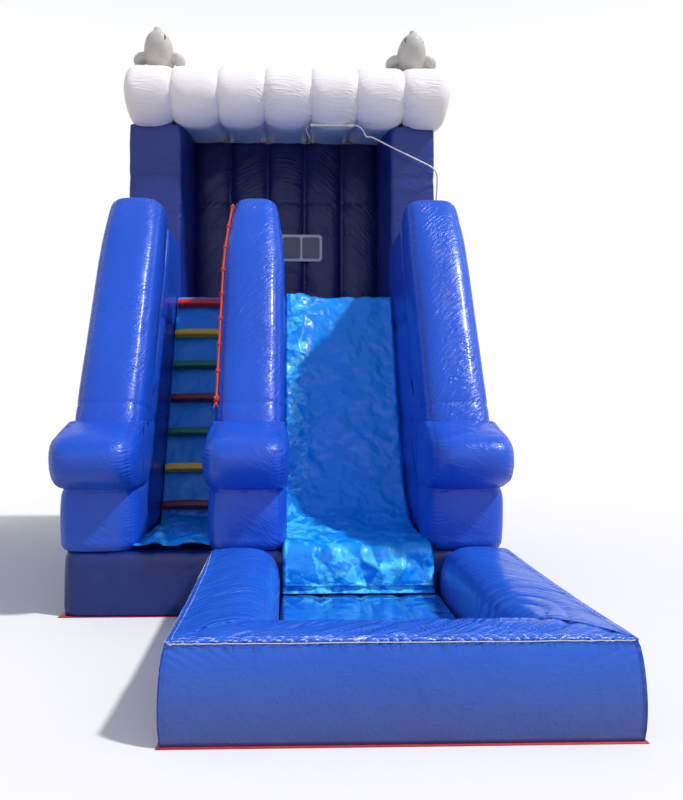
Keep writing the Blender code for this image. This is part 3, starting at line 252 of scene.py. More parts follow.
# each cloth's colour, where it is deeper and where it is paler; base and tower are darkened as painted shade, the pool
# lightened as painted light
cloths = {
    "royalBlue": (tone(28, 84, 204), tone(20, 60, 172), tone(78, 136, 236)),
    # painted shade: the royal blue vinyl made darker for the shade the base stands in
    "base": (tone(9, 36, 116), tone(6, 22, 82), tone(28, 64, 156)),
    # painted shade: the royal blue vinyl made darker for the shade under the roof
    "tower": (tone(22, 47, 132), tone(17, 36, 106), tone(50, 82, 176)),
    "back": (tone(10, 24, 92), tone(6, 14, 62), tone(28, 48, 132)),
    "roof": (tone(246, 242, 244), tone(236, 231, 236), tone(252, 250, 251)),
    "dolphin": (tone(196, 193, 188), tone(166, 162, 160), tone(216, 214, 210)),
    "liner": (tone(4, 148, 242), tone(4, 124, 228), tone(84, 218, 255)),
    "mat": (tone(12, 148, 246), tone(8, 122, 232), tone(90, 208, 252)),
    # painted light: a little lighter than the royal blue, for the pool's lit top
    "pool": (tone(32, 98, 216), tone(22, 72, 186), tone(112, 168, 246)),
    "poolFloor": (tone(20, 114, 220), tone(12, 70, 180), tone(90, 204, 250)),
    "redSheet": (tone(176, 38, 44), tone(140, 22, 28), tone(206, 84, 82)),
    "sign": (tone(196, 199, 208), tone(172, 175, 186), tone(222, 224, 230)),
    "signField": (tone(92, 96, 118), tone(70, 74, 96), tone(128, 132, 150)),
}
railThreads = (("along", 0.150), ("along", 0.102))
poolThreads = (("across", 0.574), ("across", 0.616))
finishes = {
    "blue": vinyl("royalBlueVinyl", cloths["royalBlue"], drawn=(0.5, 20.0, 4.0, 0.020)),
    "rail": vinyl("railVinyl", cloths["royalBlue"], threads=railThreads, drawn=(0.75, 26.0, 5.0, 0.030)),
    "base": vinyl("baseVinyl", cloths["base"], dirt=0.07),
    "tower": vinyl("towerVinyl", cloths["tower"], rough=0.38, drawn=(0.5, 14.0, 3.0, 0.020)),
    "back": vinyl("backWallVinyl", cloths["back"], rough=0.46, crinkle=1.2, dirt=0.04, drawn=(0.2, 12.0, 2.5, 0.05)),
    "roof": vinyl("roofVinyl", cloths["roof"], rough=0.50, crinkle=0.7, dirt=0.10, drawn=(0.1, 3.0, 20.0, 0.028)),
    "dolphin": vinyl("dolphinVinyl", cloths["dolphin"], rough=0.50, crinkle=0.5, dirt=0.35,
                     drawn=(0.2, 30.0, 7.0, 0.010)),
    "liner": vinyl("linerVinyl", cloths["liner"], rough=0.30, crinkle=1.4, dirt=0.0, wet=0.08, facets=0.9),
    "mat": vinyl("stairMatVinyl", cloths["mat"], rough=0.36, crinkle=1.3, dirt=0.03, facets=0.6),
    "pool": vinyl("poolVinyl", cloths["pool"], rough=0.26, crinkle=1.1, dirt=0.10, threads=poolThreads, grey=0.75,
                  drawn=(0.15, 13.0, 1.6, 0.055)),
    "poolFloor": vinyl("poolFloorVinyl", cloths["poolFloor"], rough=0.17, crinkle=0.7, dirt=0.0, wet=0.75, facets=0.7),
    "redSheet": vinyl("groundSheetVinyl", cloths["redSheet"], rough=0.5),
    "sign": vinyl("signVinyl", cloths["sign"], rough=0.5, crinkle=0.3, dirt=0.2),
    "signField": vinyl("signFieldVinyl", cloths["signField"], rough=0.5, crinkle=0.3, dirt=0.2),
    "rope": rope("coralRope", tone(226, 84, 62), tone(160, 36, 34)),
    "webbing": webbing("blackWebbing", tone(22, 22, 25), tone(58, 58, 62)),
    "steel": galvanised("galvanisedSteel", tone(176, 178, 182), tone(206, 208, 210), tone(128, 118, 104)),
    "pipe": plastic("whitePipePlastic", tone(226, 226, 222), tone(190, 188, 178)),
    "hose": plastic("whiteHosePlastic", tone(228, 228, 224), tone(196, 194, 184), 0.34),
    "coupling": plastic("couplingPlastic", tone(226, 142, 48), tone(190, 108, 32), 0.42),
    "zip": plastic("zipPlastic", tone(30, 30, 34), tone(70, 70, 74), 0.45),
    "cream": plastic("creamPiping", tone(206, 202, 190), tone(160, 160, 168), 0.5),
    "cord": plastic("tieString", tone(214, 212, 204), tone(170, 166, 156), 0.7),
    "eye": plastic("darkEye", tone(36, 34, 36), tone(62, 60, 62), 0.3),
}
treadColours = {"red": (230, 60, 48), "yellow": (250, 206, 56), "green": (30, 126, 104), "maroon": (122, 32, 56)}
for colourName, colour in treadColours.items():
    dark, light = tone(*[c * 0.72 for c in colour]), tone(*[min(255, c * 1.15 + 18) for c in colour])
    finishes[colourName] = vinyl(colourName + "TreadVinyl", (tone(*colour), dark, light), rough=0.44, crinkle=0.5)
print("finishes made:", len(finishes))


def within(x):
    return np.clip(x, 0, 1)


def rising(x, start, span):
    # 0 up to the start, 1 past the span
    return within((x - start) / span)


def nearEnd(v, span):
    # 0 at both ends of a way from 0 to 1, 1 further in
    return rising(np.minimum(v, 1 - v), 0, span)


def bell(off, width):
    return np.exp(-(off / width) ** 2)


def groove(off, width):
    # a seam's valley, sharper than a bell
    return np.exp(-(np.abs(off) / width) ** 1.2)


def summed(steps):
    return np.concatenate([[0], np.cumsum(steps)])


def lattice(way, seed):
    # smooth one-way noise, 0 to 1
    table = np.random.default_rng(seed).random(4096)
    cell = np.floor(way).astype(int)
    part = way - cell
    part = part * part * (3 - 2 * part)
    return table[cell % 4096] * (1 - part) + table[(cell + 1) % 4096] * part


def ripple(first, second, size, seed):
    # smooth two-way noise about zero, -0.5 to 0.5
    table = np.random.default_rng(seed).random((256, 256))
    a, b = first / size, second / size
    i, j = np.floor(a).astype(int), np.floor(b).astype(int)
    p, q = a - i, b - j
    p, q = p * p * (3 - 2 * p), q * q * (3 - 2 * q)
    i, j = i % 256, j % 256
    k, l = (i + 1) % 256, (j + 1) % 256
    low = table[i, j] * (1 - p) + table[k, j] * p
    high = table[i, l] * (1 - p) + table[k, l] * p
    return low * (1 - q) + high * q - 0.5


def eased(x, keys, values):
    # a smooth line through the values
    keys, values = np.asarray(keys, float), np.asarray(values, float)
    slopes = np.gradient(values, keys)
    i = np.clip(np.searchsorted(keys, x) - 1, 0, len(keys) - 2)
    step = keys[i + 1] - keys[i]
    t = within((x - keys[i]) / step)
    start = (2 * t ** 3 - 3 * t ** 2 + 1) * values[i] + (t ** 3 - 2 * t ** 2 + t) * step * slopes[i]
    end = (3 * t ** 2 - 2 * t ** 3) * values[i + 1] + (t ** 3 - t ** 2) * step * slopes[i + 1]
    return start + end


def evenly(points, closed=True):
    # a function that walks a line of points evenly, 0 to 1
    points = np.asarray(points, float)
    if closed:
        points = np.vstack([points, points[:1]])
    ways = summed(np.linalg.norm(np.diff(points, axis=0), axis=1))
    total = ways[-1]

    def walk(share):
        return [np.interp(share, ways / total, points[:, k]) for k in range(points.shape[1])]
    walk.length = total
    walk.shareOf = lambda index: ways[index] / total
    return walk


def rounded(points, rounds=3):
    # a closed outline's corners cut again and again
    points = np.asarray(points, float)
    for _ in range(rounds):
        after = np.roll(points, -1, axis=0)
        cut = np.stack([points * 0.75 + after * 0.25, points * 0.25 + after * 0.75], axis=1)
        points = cut.reshape(-1, points.shape[1])
    return points


def roundSquare(power, wide=1.0, high=1.0):
    # an inflated section between a circle (2) and a box, with half sizes wide and high, and where its corners are
    angle = np.linspace(0, 2 * np.pi, 1441)[:-1]
    c, s = np.cos(angle), np.sin(angle)
    x, y = np.sign(c) * np.abs(c) ** (2 / power) * wide, np.sign(s) * np.abs(s) ** (2 / power) * high
    walk = evenly(np.stack([x, y], axis=1))
    corners = [walk.shareOf(index) for index in (180, 540, 900, 1260)]
    return (lambda u: [value / size for value, size in zip(walk(u), (wide, high))]), corners


def folds(run, spacing, seed):
    # deep, sharp valleys with round ridges between them, uneven as gathered cloth is
    phase = run / spacing + 0.9 * lattice(run / spacing / 2.3, seed)
    valley = 1 - np.abs(np.sin(np.pi * phase)) ** 0.6
    return valley * (0.15 + 0.85 * lattice(run / spacing / 1.3 + 7.3, seed + 1))


def facets(x, s, size, seed):
    # random heights joined by flat triangles, on a grid that is itself bent; also a tint for each triangle
    bend, cells = 0.7, 128
    a = x / size + bend * ripple(x, s, size * 2.1, seed + 1)
    b = s / size + bend * ripple(x, s, size * 2.1, seed + 2)
    i, j = np.floor(a).astype(int), np.floor(b).astype(int)
    p, q = a - i, b - j
    rng = np.random.default_rng(seed)
    table, turned, tints = rng.random((cells, cells)), rng.random((cells, cells)) > 0.5, rng.random((cells, cells, 2))
    i0, i1, j0, j1 = i % cells, (i + 1) % cells, j % cells, (j + 1) % cells
    flip = turned[i0, j0]
    p = np.where(flip, 1 - p, p)
    left, right = np.where(flip, i1, i0), np.where(flip, i0, i1)
    h00, h10, h01, h11 = table[left, j0], table[right, j0], table[left, j1], table[right, j1]
    near = h00 + (h10 - h00) * p + (h01 - h00) * q
    far = h11 + (h01 - h11) * (1 - p) + (h10 - h11) * (1 - q)
    return np.where(p + q < 1, near, far), np.where(p + q < 1, tints[i0, j0, 0], tints[i0, j0, 1])


def crumple(x, s, seed, sizes=((0.20, 1.0), (0.095, 0.50), (0.045, 0.22)), turn=0.5):
    # 0 to 1: creased sheeting, big facets with smaller ones on them; and its tint, 0 to 1, which picks the facets that
    #         get painted light
    along, across = x * math.cos(turn) + s * math.sin(turn), s * math.cos(turn) - x * math.sin(turn)
    layers = [facets(along, across, size, seed + 10 * k) for k, (size, _) in enumerate(sizes)]
    total = sum(share for _, share in sizes)
    height = sum(share * layer[0] for (_, share), layer in zip(sizes, layers)) / total
    return height, 0.5 * layers[0][1] + 0.35 * layers[1][1] + 0.15 * layers[2][1]


def finished(bm, name):
    mesh = bpy.data.meshes.new(name)
    bm.to_mesh(mesh)
    bm.free()
    return mesh


def pointsOf(mesh):
    points = np.empty(len(mesh.vertices) * 3)
    mesh.vertices.foreach_get("co", points)
    return points.reshape(-1, 3)


def gridMesh(name, columns, rows):
    # a grid with its points' places, 0 to 1 both ways, their order row by row and how many are in a row
    bm = bmesh.new()
    bmesh.ops.create_grid(bm, x_segments=columns, y_segments=rows, size=0.5)
    mesh = finished(bm, name)
    flat = pointsOf(mesh)
    order = np.lexsort((flat[:, 0].round(6), flat[:, 1].round(6)))
    return mesh, flat + 0.5, order, len(np.unique(flat[:, 0].round(6)))


clothPlan = {
    "cell": 0.023, "frames": 16, "quality": 4, "mass": 0.2, "stretch": 30, "shear": 10, "bend": 0.3, "air": 4,
}


def settled(name, wide, long, start, spare):
    # Blender's cloth: a sheet held at its rim, with more cloth than room, buckles; gives its height at (u, v)
    plan = clothPlan
    mesh, flat, order, columns = gridMesh(name, round(wide / plan["cell"]), round(long / plan["cell"]))
    x, y = flat[:, 0] * wide, flat[:, 1] * long
    flat = np.stack([x, y, start(x, y)], axis=-1)
    mesh.vertices.foreach_set("co", flat.ravel())
    sheet = bpy.data.objects.new(name, mesh)
    scene.collection.objects.link(sheet)
    rim = np.minimum(np.minimum(x, wide - x), np.minimum(y, long - y)) < plan["cell"] * 0.6
    sheet.vertex_groups.new(name="rim").add([int(i) for i in np.nonzero(rim)[0]], 1.0, "REPLACE")
    cloth = sheet.modifiers.new("cloth", "CLOTH")
    cloth.settings.quality = plan["quality"]
    cloth.settings.mass = plan["mass"]
    cloth.settings.tension_stiffness = cloth.settings.compression_stiffness = plan["stretch"]
    cloth.settings.shear_stiffness = plan["shear"]
    cloth.settings.bending_stiffness = plan["bend"]
    cloth.settings.air_damping = plan["air"]
    cloth.settings.shrink_min = -spare
    cloth.settings.vertex_group_mass = "rim"
    cloth.settings.effector_weights.gravity = 0
    cloth.collision_settings.use_collision = False
    for step in range(1, plan["frames"] + 1):
        scene.frame_set(step)
    flat = pointsOf(sheet.evaluated_get(bpy.context.evaluated_depsgraph_get()).to_mesh())
    scene.frame_set(1)
    bpy.data.objects.remove(sheet)
    heights = flat[order, 2].reshape(-1, columns)
    rows = len(heights)

    def at(u, v):
        a, b = within(u) * (columns - 1), within(v) * (rows - 1)
        i, j = np.minimum(a.astype(int), columns - 2), np.minimum(b.astype(int), rows - 2)
        p, q = a - i, b - j
        near = heights[j, i] * (1 - p) + heights[j, i + 1] * p
        far = heights[j + 1, i] * (1 - p) + heights[j + 1, i + 1] * p
        return near * (1 - q) + far * q
    return at


def unit(vectors):
    return vectors / np.maximum(np.linalg.norm(vectors, axis=-1, keepdims=True), 1e-9)


def lengthways(points, axis):
    # how far each point is along its row (1) or column (0)
    steps = np.linalg.norm(np.diff(points, axis=axis), axis=2)
    return np.concatenate([np.zeros_like(np.take(steps, [0], axis)), np.cumsum(steps, axis=axis)], axis=axis)


seamPlan = {"slantReach": 0.45, "thread": 0.012, "pleatShade": 1.3, "threadShade": 0.8}


def seam(runs, at, depth=0.012, width=0.03, pleat=0.006, reach=0.10, spacing=0.045, **more):
    return dict(runs=runs, at=at, depth=depth, width=width, pleat=pleat, reach=reach, spacing=spacing, **more)


def sewnIn(line, own, u, v, around, along, closed):
    # how far one seam draws the cell in, and how dark it is there: painted shade in its pleats, and its dark thread
    # line
    if line["runs"] == "along":      # the seam runs the length of the cell
        off = np.abs(u - line["at"])
        if closed:
            off = np.minimum(off, 1 - off)
        off, run = off * np.maximum(around[:, -1:], 1e-6), along
    else:                            # across it
        meanAlong = along.mean(axis=1, keepdims=True) * np.ones(u.shape)
        off = np.abs(meanAlong - np.interp(line["at"], v[:, 0], meanAlong[:, 0]))
        run = around
    slant = run + off * (lattice(run / seamPlan["slantReach"], own + 3) - 0.5) * line.get("slant", 1.4)
    reach = line["reach"] * (0.35 + 1.1 * lattice(run / line["spacing"] / 1.7, own + 5))
    if "below" in line:
        reach = reach * np.where(u < line["at"], line["below"], 1)
    pleat = folds(slant, line["spacing"], own) * np.exp(-off / reach)
    if "fade" in line:
        pleat = pleat * np.interp(v, *line["fade"])
    shade = np.maximum(pleat * seamPlan["pleatShade"], seamPlan["threadShade"] * bell(off, seamPlan["thread"]))
    return line["depth"] * groove(off, line["width"]) + line["pleat"] * pleat, shade


def skin(name, columns, rows, place, seams=(), wave=0.003, waveSize=0.35, seed=1, closed=True, shape=None):
    # a sewn cell: place(u, v) gives its form, u round it and v along it; seams draw it in and gather it
    mesh, flat, order, wide = gridMesh(name, columns, rows)
    u, v = flat[order, 0].reshape(-1, wide), flat[order, 1].reshape(-1, wide)
    points = np.stack(np.broadcast_arrays(*place(u, v)), axis=-1).astype(float)
    if closed:
        loop = points[:, :-1]
        byU = np.roll(loop, -1, axis=1) - np.roll(loop, 1, axis=1)
        byU = np.concatenate([byU, byU[:, :1]], axis=1)
    else:
        byU = np.gradient(points, axis=1)
    upAndOut = (0, -0.6, 1)         # the way an open sheet's face looks
    normals = unit(np.cross(byU, np.gradient(points, axis=0)))
    outward = (normals * (points - points.reshape(-1, 3).mean(axis=0))).sum() if closed else (
        normals.reshape(-1, 3).sum(axis=0).dot(upAndOut))
    if outward < 0:
        normals = -normals
    around, along = lengthways(points, 1), lengthways(points, 0)
    push = wave * 2 * ripple(around + 3.1, along + 5.7, waveSize, seed)
    # this mask holds the dark seam lines, painted shade in pleats and folds, and on crumpled sheets painted light on
    # lit facets
    crease = np.zeros(u.shape)
    for number, line in enumerate(seams):
        drawnIn, shade = sewnIn(line, seed * 31 + number * 7, u, v, around, along, closed)
        push -= drawnIn
        crease = np.maximum(crease, shade)
    if shape:
        push, crease = shape(points, normals, push, crease, u, v)
    points = points + normals * push[..., None]
    spots, held = np.empty_like(flat), np.empty_like(flat)
    spots[order] = points.reshape(-1, 3)
    held[order] = np.stack([around, along, within(crease)], axis=-1).reshape(-1, 3)
    mesh.vertices.foreach_set("co", spots.ravel())
    corner = np.empty(len(mesh.loops), int)
    mesh.loops.foreach_get("vertex_index", corner)
    mesh.uv_layers.new(name="skin").uv.foreach_set("vector", held[corner, :2].ravel())
    mesh.attributes.new("crease", "FLOAT", "POINT").data.foreach_set("value", held[:, 2])
    bm = bmesh.new()
    bm.from_mesh(mesh)
    bmesh.ops.remove_doubles(bm, verts=bm.verts, dist=0.00005)
    if closed:
        bmesh.ops.recalc_face_normals(bm, faces=bm.faces)
    elif sum(face.normal.dot(upAndOut) for face in bm.faces) < 0:
        bmesh.ops.reverse_faces(bm, faces=bm.faces)
    bm.to_mesh(mesh)
    bm.free()
    return mesh


def piece(name, mesh, finish, instead=(), body="slide", smooth=True):
    if isinstance(mesh, list):
        mesh = joined(name, mesh)
    made = bpy.data.objects.new(name, mesh)
    scene.collection.objects.link(made)
    mesh.materials.clear()
    mesh.materials.append(finishes[finish].block)
    if smooth:
        mesh.shade_smooth()
    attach(made, body)
    if instead:
        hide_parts(*instead)
    return made


def chamber(name, grid, place, finish, stands, seams=(), wave=(0.003, 0.35, 1), shape=None):
    # an inflated cell as a piece of its own; wave is its unevenness, as depth, size and seed
    mesh = skin(name, *grid, place, seams, *wave, True, shape)
    piece(name, mesh, finish, [stands])


def atMost(limit):
    # a cell that stands no further out than this from its own form
    return lambda points, normals, push, crease, u, v: (np.minimum(push, limit), crease)


def thicken(made, thickness):
    wall = made.modifiers.new("thickness", "SOLIDIFY")
    wall.thickness = thickness
    wall.offset = 0.0
    return made


def tubeMesh(name, points, radius, sides=10, closed=False):
    # a mesh tube along points; its skin map runs round it and along it in metres
    points = [Vector(p) for p in points]
    count = len(points)
    bm = bmesh.new()
    layer = bm.loops.layers.uv.new("skin")
    rings, up, way = [], None, 0.0
    for i, point in enumerate(points):
        before = points[(i - 1) % count] if closed or i else point
        after = points[(i + 1) % count] if closed or i < count - 1 else point
        run = (after - before).normalized()
        up = run.orthogonal() if up is None else (up - run * up.dot(run))
        up.normalize()
        side = run.cross(up)
        ring = bmesh.ops.create_circle(bm, cap_ends=False, segments=sides, radius=radius)["verts"]
        for k, corner in enumerate(ring):
            angle = 2 * math.pi * k / sides
            corner.co = point + (up * math.cos(angle) + side * math.sin(angle)) * radius
        way += (point - points[i - 1]).length if i else 0.0
        rings.append((ring, way))
    pairs = list(zip(rings, rings[1:]))
    if closed:
        pairs.append((rings[-1], (rings[0][0], way + (points[0] - points[-1]).length)))
    for (near, low), (far, high) in pairs:
        for k in range(sides):
            j = (k + 1) % sides
            face = bm.faces.new((near[k], near[j], far[j], far[k]))
            for loop, (a, b) in zip(face.loops, ((k, low), (k + 1, low), (k + 1, high), (k, high))):
                loop[layer].uv = (a / sides * 2 * math.pi * radius, b)
    if not closed:
        bm.faces.new(rings[0][0])
        bm.faces.new(rings[-1][0])
    bmesh.ops.recalc_face_normals(bm, faces=bm.faces)
    return finished(bm, name)


def joined(name, meshes):
    bm = bmesh.new()
    for mesh in meshes:
        bm.from_mesh(mesh)
    return finished(bm, name)


def smoothLine(route, parts=8):
    # a smooth line through a few points
    knots = [Vector(p) for p in route]
    knots = [knots[0] * 2 - knots[1]] + knots + [knots[-1] * 2 - knots[-2]]
    fine = []
    for a, b, c, d in zip(knots, knots[1:], knots[2:], knots[3:]):
        bend, swing = a * 2 - b * 5 + c * 4 - d, b * 3 - a - c * 3 + d
        for t in (i / parts for i in range(parts)):
            fine.append((b * 2 + (c - a) * t + bend * t * t + swing * t ** 3) / 2)
    fine.append(knots[-2])
    return fine


def lathe(name, start, along, section, steps=32):
    # a section of (way along, radius) spun about a line
    along = Vector(along).normalized()
    across = along.orthogonal().normalized()
    bm = bmesh.new()
    verts = [bm.verts.new(Vector(start) + along * way + across * radius) for way, radius in section]
    edges = [bm.edges.new(pair) for pair in zip(verts, verts[1:])]
    bmesh.ops.spin(bm, geom=verts + edges, cent=start, axis=along, angle=2 * math.pi, steps=steps, use_merge=True)
    bmesh.ops.remove_doubles(bm, verts=bm.verts, dist=0.00002)
    bmesh.ops.recalc_face_normals(bm, faces=bm.faces)
    mesh = finished(bm, name)
    mesh.set_sharp_from_angle(angle=math.radians(40))
    return mesh


def boxIn(bm, sizes, at):
    # a cube scaled to its sizes and moved to its place
    bmesh.ops.create_cube(bm, size=1.0)
    bmesh.ops.scale(bm, verts=bm.verts, vec=sizes)
    bmesh.ops.translate(bm, verts=bm.verts, vec=at)


def roundedPlate(name, wide, high, corner, depth, place, bevel):
    # a flat plate facing front or back, with round corners and soft rims
    bm = bmesh.new()
    bmesh.ops.create_cube(bm, size=1.0)
    bmesh.ops.scale(bm, verts=bm.verts, vec=(wide, depth, high))
    upright = [e for e in bm.edges if abs(e.verts[0].co.y - e.verts[1].co.y) > depth / 2]
    bmesh.ops.bevel(bm, geom=upright, offset=corner, offset_type="OFFSET", affect="EDGES", segments=8, profile=0.5,
                    material=-1)
    rims = [e for e in bm.edges if e.calc_face_angle(0) > 1.2]
    bmesh.ops.bevel(bm, geom=rims, offset=bevel, offset_type="OFFSET", affect="EDGES", segments=2, profile=0.5,
                    material=-1)
    bmesh.ops.translate(bm, verts=bm.verts, vec=place)
    return finished(bm, name)


shot = {
    "place": (0.06, -9.96, 1.806), "pixels": 810.0, "width": 683,      # focal length and frame in pixels
    "down": 15.0, "roll": 25.0, "shift": 26.5,                         # how far the frame is off the lens's axis
    "sensor": 36.0, "far": 200.0,
}
lens = bpy.data.cameras.new("camera")
lens.sensor_fit = "HORIZONTAL"
lens.sensor_width = shot["sensor"]
lens.lens = shot["sensor"] * shot["pixels"] / shot["width"]
lens.shift_x = shot["shift"] / shot["width"]
lens.clip_end = shot["far"]
camera = bpy.data.objects.new("camera", lens)
camera.location = shot["place"]
tip, turn = math.atan(shot["down"] / shot["pixels"]), math.atan(shot["roll"] / shot["pixels"])
camera.rotation_euler = (math.radians(90) + tip, 0, -turn)
scene.collection.objects.link(camera)
scene.camera = camera

studio = {
    "floorSize": 60.0, "floorCells": 40, "floorDrop": -0.001, "glow": (4.5, 12.0),       # where the floor turns white
    "sky": tone(228, 230, 242), "skyLight": 0.60, "overhead": tone(150, 182, 236), "overheadFrom": (0.42, 0.80),
    "aim": (0, 0, 2.0),
    "key": (3.0, (5.4, -2.5, 9.6), 4, (1.0, 0.98, 0.95)),       # light, place, angle and colour
    "fill": (0.35, (0.0, -12.0, 4.0), 70, (1, 1, 1)),
}


def floorFinish():
    f = Finish("paleFloor")
    colour = f.mix(f.noise(5.0, 6.0) * 0.3, tone(232, 232, 232), tone(222, 222, 224))
    rays = f.node("LightPath")
    seen = f.smooth(rays["Is Camera Ray"] + rays["Is Glossy Ray"] + rays["Is Transmission Ray"], 0.0, 1.0)
    colour = f.mix(seen, tone(184, 179, 172), colour)       # it looks paler than the light it sends back
    shader = f.node("BsdfPrincipled", None, {"Base Color": colour, "Roughness": 0.9})
    glow = f.node("Emission", None, {"Color": (1, 1, 1, 1), "Strength": 1.0})
    far = f.node("VectorMath", {"operation": "LENGTH"}, {0: f.place})["Value"]
    both = f.node("MixShader", None, {0: f.smooth(far, *studio["glow"]) * seen, 1: shader, 2: glow})
    f.node("OutputMaterial", None, {"Surface": both})
    return f.block


def skyFinish():
    # white where it is seen, with a blue overhead that only reflections reach
    f = Finish("paleSky", bpy.data.worlds)
    rays = f.node("LightPath")
    seen = f.node("Math", {"operation": "MAXIMUM"}, {0: rays["Is Camera Ray"], 1: rays["Is Glossy Ray"]})
    seen = seen.maths("MAXIMUM", seen, rays["Is Transmission Ray"])
    high = f.split(f.node("TexCoord")["Generated"])["Z"]
    rise = f.node("MapRange", None, {"Value": high, "From Min": studio["overheadFrom"][0],
                                     "From Max": studio["overheadFrom"][1]})
    white = f.node("Background", None, {"Color": f.mix(rise, (1, 1, 1, 1), studio["overhead"])})
    plain = f.node("Background", None, {"Color": studio["sky"], "Strength": studio["skyLight"]})
    f.node("OutputWorld", None, {0: f.node("MixShader", None, {0: seen, 1: plain, 2: white})})
    return f.block


def sun(name):
    strength, place, angle, colour = studio[name]
    light = bpy.data.lights.new(name, "SUN")
    light.energy, light.color, light.angle = strength, colour, math.radians(angle)
    made = bpy.data.objects.new(name, light)
    made.location = place
    made.rotation_euler = (Vector(studio["aim"]) - Vector(place)).to_track_quat("-Z", "Y").to_euler()
    scene.collection.objects.link(made)


bm = bmesh.new()
bmesh.ops.create_grid(bm, x_segments=studio["floorCells"], y_segments=studio["floorCells"], size=studio["floorSize"])
bmesh.ops.translate(bm, verts=bm.verts, vec=(0, 0, studio["floorDrop"]))
floor = bpy.data.objects.new("floor", finished(bm, "floor"))
floor.data.materials.append(floorFinish())
scene.collection.objects.link(floor)
scene.world = skyFinish()
sun("key")
sun("fill")
print("camera, floor and lights ready")


hosePlan = {"diameter": 0.020, "sides": 14}
hoseRoute = (
    (0.9003, 0.7106, 5.6482), (0.950, 0.7106, 5.6482), (1.020, 0.7060, 5.595), (1.073, 0.7020, 5.500),
    (1.150, 0.7000, 5.490), (1.420, 0.6970, 5.355), (1.700, 0.6950, 5.220), (1.940, 0.7000, 5.100),
    (2.020, 0.7600, 5.020), (2.040, 0.8600, 4.860), (2.036, 0.9300, 4.600), (2.034, 0.9500, 4.200),
    (2.034, 0.9500, 3.600), (2.034, 0.9500, 2.900), (2.034, 0.9500, 2.100), (2.034, 0.9500, 1.300),
    (2.036, 0.9400, 0.700), (2.060, 0.9100, 0.330), (2.110, 0.8600, 0.110), (2.190, 0.7700, 0.024),
    (2.270, 0.6600, 0.0125), (2.330, 0.5000, 0.0115), (2.350, 0.3200, 0.0120), (2.330, 0.1600, 0.0150),
    (2.300, 0.0200, 0.0185), (2.272, -0.1200, 0.0185))
hoseLine = smoothLine(hoseRoute, 10)
hoseLength = sum((b - a).length for a, b in zip(hoseLine, hoseLine[1:]))
hoseMesh = tubeMesh("feed_hose_tube", hoseLine, hosePlan["diameter"] / 2, hosePlan["sides"])
hose = piece("feed_hose_tube", hoseMesh, "hose", ["feed_hose"])
hoseEnd, hoseRun = hoseLine[-1], (hoseLine[-1] - hoseLine[-2]).normalized()
print(f"hose {hoseLength:.3f} m")


# the base, the lanes on it and the sloping rails beside them
base = {"wide": 4.0, "deep": 5.3, "top": 0.58, "low": 0.0063, "crown": 0.022}
lane = {"wall": 0.64, "divider": -0.335, "edge": 0.30, "top": 3.28, "ramp": 64.7}
rail = {"angle": math.radians(61.4), "foot": 0.733, "length": 2.80, "width": 0.68, "taper": 1.10, "fall": 0.13,
        "start": 1.75}
frontY, rearY, sideX = -base["deep"] / 2, base["deep"] / 2, base["wide"] / 2
deckZ = base["top"] + gap
laneX = sideX - lane["wall"]
dividerX, edgeY, platformTop = lane["divider"], lane["edge"], lane["top"]
rampAngle = math.radians(lane["ramp"])
towerFrontY, backWallY = 0.80, 2.10
stations = {"left": -sideX + lane["wall"] / 2, "divider": dividerX, "right": sideX - lane["wall"] / 2}


def box(low, high, power):
    # a plan outline with tight round corners, and its middle
    middle = [(a + b) / 2 for a, b in zip(low, high)]
    half = [(b - a) / 2 for a, b in zip(low, high)]
    across = roundSquare(power, *half)[0]

    def outline(u):
        x, y = across(u)
        return middle[0] + x * half[0], middle[1] + y * half[1]
    return outline, middle


def stacked(outline, middle, levels, lids):
    # outline(u) at levels of (height, inset), closed by flat lids that shrink to the middle
    heights, insets = ([level[k] for level in levels] for k in range(2))
    ways = summed(np.hypot(np.diff(heights), np.diff(insets)))
    ways = ways / ways[-1]

    def place(u, v):
        share = rising(v, lids, 1 - 2 * lids)
        z = np.interp(share, ways, heights)
        inset = eased(share, ways, insets)
        x, y = outline(u)
        far = np.maximum(np.hypot(x - middle[0], y - middle[1]), 1e-6)
        pull = (1 - inset / far) * nearEnd(v, lids)
        return middle[0] + (x - middle[0]) * pull, middle[1] + (y - middle[1]) * pull, z
    return place


def channels(low, high, pitch, dip):
    # levels of a cell with sewn channels
    count = max(1, round((high - low) / pitch))
    levels = []
    for i in range(count):
        for share in np.linspace(0, 1, 12)[: None if i == count - 1 else -1]:
            levels.append((low + (high - low) / count * (i + share), dip * abs(2 * share - 1) ** 4))
    return levels, [i / count for i in range(1, count)]


def lidShare(share, lids):
    return lids + (1 - 2 * lids) * share


